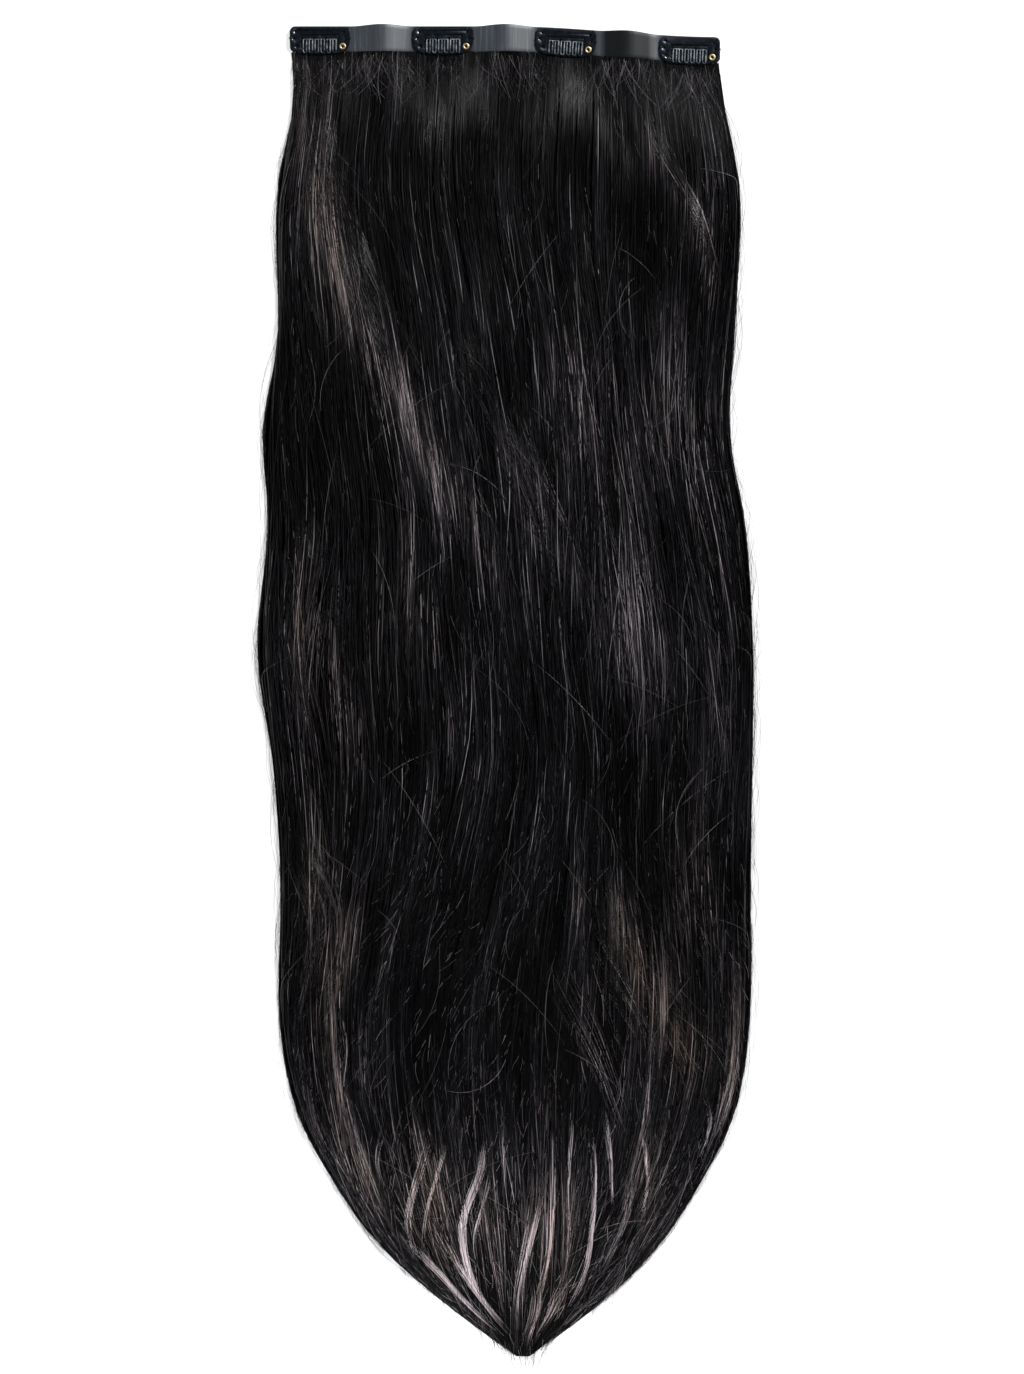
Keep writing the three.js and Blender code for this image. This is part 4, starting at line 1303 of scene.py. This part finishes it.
whole = add_node(eyelet_tree, "GeometryNodeJoinGeometry")
for formed in (flat_rim, low_barrel):
    eyelet_tree.links.new(formed, whole.node.inputs["Geometry"])
rounded = add_node(eyelet_tree, "GeometryNodeSetShadeSmooth", {"Geometry": whole})
copies = add_node(eyelet_tree, "GeometryNodeInstanceOnPoints", {"Points": given["Geometry"], "Instance": rounded})
finish_tree(eyelet_tree, copies, given["Material"])

rim_z = PLATE_TOP + float(plate_lift(EYELET_PLACE[0])) + 0.12
eyelet_points = [clip_to_frame(number, [(*EYELET_PLACE, rim_z)])[0] for number in range(CLIP_COUNT)]
eyelet_mesh = bpy.data.meshes.new("eyelet_points")
eyelet_mesh.from_pydata([tuple(p) for p in eyelet_points], [], [])
eyelets = run_tree(
    "clip_eyelets",
    eyelet_mesh,
    eyelet_tree,
    {
        "Rim middle": (EYELET_BORE + EYELET_RADIUS) / 2 * MM,
        "Rim width": (EYELET_RADIUS - EYELET_BORE) * MM,
        "Rim flatness": EYELET_HEIGHT * 1.3 / (EYELET_RADIUS - EYELET_BORE),
        "Barrel middle": (EYELET_BORE + EYELET_BARREL) / 2 * MM,
        "Barrel wall": (EYELET_BARREL - EYELET_BORE) * MM,
        "Barrel depth": 0.6 * MM,
        "Material": brass,
    },
)
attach(eyelets, "weft")
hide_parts(*[f"clip_{number + 1}_eyelet" for number in range(CLIP_COUNT)])
print("eyelets:", len(eyelets.data.polygons), "faces")

# %% [markdown]
# ## Sewing thread
#
# Each clip is sewn to the band by hand through the small holes of its end plates. A few turns of black
# polyester thread come up through a hole, run over the plate's edge and go down into the film. The tree that
# made the hair makes the thread too, with more sides.

# %% Thread material
thread, tree, shader, place = new_material("black_polyester_thread")
ply_inputs = {"Vector": place, "Scale": 1 / (0.5 * MM) / 20, "Distortion": 1.5}
plies = add_node(tree, "ShaderNodeTexWave", ply_inputs, give="Fac", bands_direction="DIAGONAL")
thread_colour = add_ramp(tree, plies, [(0.2, "#0b0b0c"), (0.9, "#2e2e31")])
set_inputs(shader, {"Base Color": thread_colour, "Normal": add_bump(tree, plies, 0.4, 0.04), "Roughness": 0.42})
print("thread ready")

# %% Stitches
THREAD_WIDTH = 0.24
BAND_TOP = BAND_FLOOR_GAP + BAND_THICKNESS
half_clip = CLIP_LENGTH / 2
# hole x, hole y, edge x, edge y for each sewn hole of the right half; the left half mirrors it
SEWN_HOLES = [
    (half_clip - 2.8, -2.0, half_clip - 2.8, 0.0),
    (half_clip - 1.9, -5.1, half_clip, -5.1),
]
stitch_lines = []
for number in range(CLIP_COUNT):
    for side in (-1, 1):
        for hole_x, hole_y, edge_x, edge_y in SEWN_HOLES:
            hole = np.array([side * hole_x, hole_y])
            edge = np.array([side * edge_x, edge_y])
            way = (edge - hole) / np.linalg.norm(edge - hole)
            aside = np.array([-way[1], way[0]])
            for turn_number in (-1, 0, 1):
                shift = aside * 0.24 * turn_number
                top = PLATE_TOP + float(plate_lift(hole[0])) + 0.1
                edge_top = PLATE_TOP + float(plate_lift(edge[0])) + 0.1
                stops = [
                    (*(hole + shift * 0.6), BAND_TOP - 0.1),
                    (*(hole + shift * 0.7), top - 0.2),
                    (*(hole + shift + way * 0.35), top + 0.05),
                    (*((hole + edge) / 2 + shift * 1.2), (top + edge_top) / 2 + 0.06),
                    (*(edge + shift * 1.3 - way * 0.1), edge_top + 0.05),
                    (*(edge + shift * 1.4 + way * 0.22), edge_top - 0.3),
                    (*(edge + shift * 1.5 + way * 0.34), BAND_TOP - 0.1),
                ]
                stops = clip_to_frame(number, stops)
                fine = np.linspace(0, len(stops) - 1, 15)
                stitch_lines.append(
                    np.stack([np.interp(fine, np.arange(len(stops)), stops[:, axis]) for axis in range(3)], -1)
                )
stitch_lines = np.array(stitch_lines)
stitches = make_strands(
    "clip_stitches", stitch_lines, np.array([[THREAD_WIDTH]]), np.array([[0.5]]), thread, sides=7
)
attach(stitches, "weft")

# %% [markdown]
# ## Studio
#
# The product lies on white paper. The paper gives a little light of its own, which stands for a strongly lit
# studio sweep and keeps it white up to the edges, and only a faint soft shadow is left round the hair.
# Black hair looks right when most of the room is dark. One small soft box at the upper right draws a bright patch on
# each arch of the band and lights the locks that lean to the right. A narrow spot lies on the pointed end alone and
# lights its grey streaks, whose light tone is painted, and a weak box at the left opens the shadows.

# %% Paper floor
paper, tree, shader, place = new_material("white_studio_paper")
paper_inputs = {
    "Base Color": add_ramp(tree, add_noise(tree, place, 4, 3.0), [(0.2, "#f2f2f2"), (0.8, "#fafafa")]),
    "Roughness": 0.8,
    "Specular IOR Level": 0.1,
    "Emission Color": linear("#ffffff"),
    "Emission Strength": 0.69,
}
set_inputs(shader, paper_inputs)

FLOOR_SIZE = 4.0
floor = mesh_object(
    "studio_floor",
    [(x * FLOOR_SIZE, y * FLOOR_SIZE, 0.0) for x, y in ((-1, -1), (1, -1), (1, 1), (-1, 1))],
    [(0, 1, 2, 3)],
    paper,
    shade_smooth=False,
)
print("floor", 2 * FLOOR_SIZE, "m wide")

# %% Lights
SOFT_BOXES = [
    # name, place in m, point it is aimed at in m, size m, power W, spread in degrees
    ("key_upper_right", (0.9, 1.22, 1.5), (0.0, 0.0, 0.0), 0.3, 24, 180),
    ("spot_on_the_tip", (-0.3, 0.55, 1.1), (0.01, -0.3, 0.0), 0.2, 0.19, 12),
    ("fill_left", (-1.5, 0.2, 0.9), (0.0, 0.0, 0.0), 0.8, 2.6, 180),
]
for name, place, aim, size, power, spread in SOFT_BOXES:
    lamp = bpy.data.lights.new(name, "AREA")
    lamp.shape = "SQUARE"
    lamp.size = size
    lamp.energy = power
    lamp.spread = math.radians(spread)
    box = bpy.data.objects.new(name, lamp)
    bpy.context.scene.collection.objects.link(box)
    box.location = place
    box.rotation_euler = (Vector(place) - Vector(aim)).to_track_quat("Z", "Y").to_euler()

world = bpy.data.worlds.new("dim_room")
bpy.context.scene.world = world
world.use_nodes = True
world.node_tree.nodes["Background"].inputs["Color"].default_value = linear("#c9d2de")
world.node_tree.nodes["Background"].inputs["Strength"].default_value = 0.09
bpy.context.scene.view_settings.view_transform = "Standard"
bpy.context.scene.view_settings.look = "None"
print("lights:", [entry[0] for entry in SOFT_BOXES])
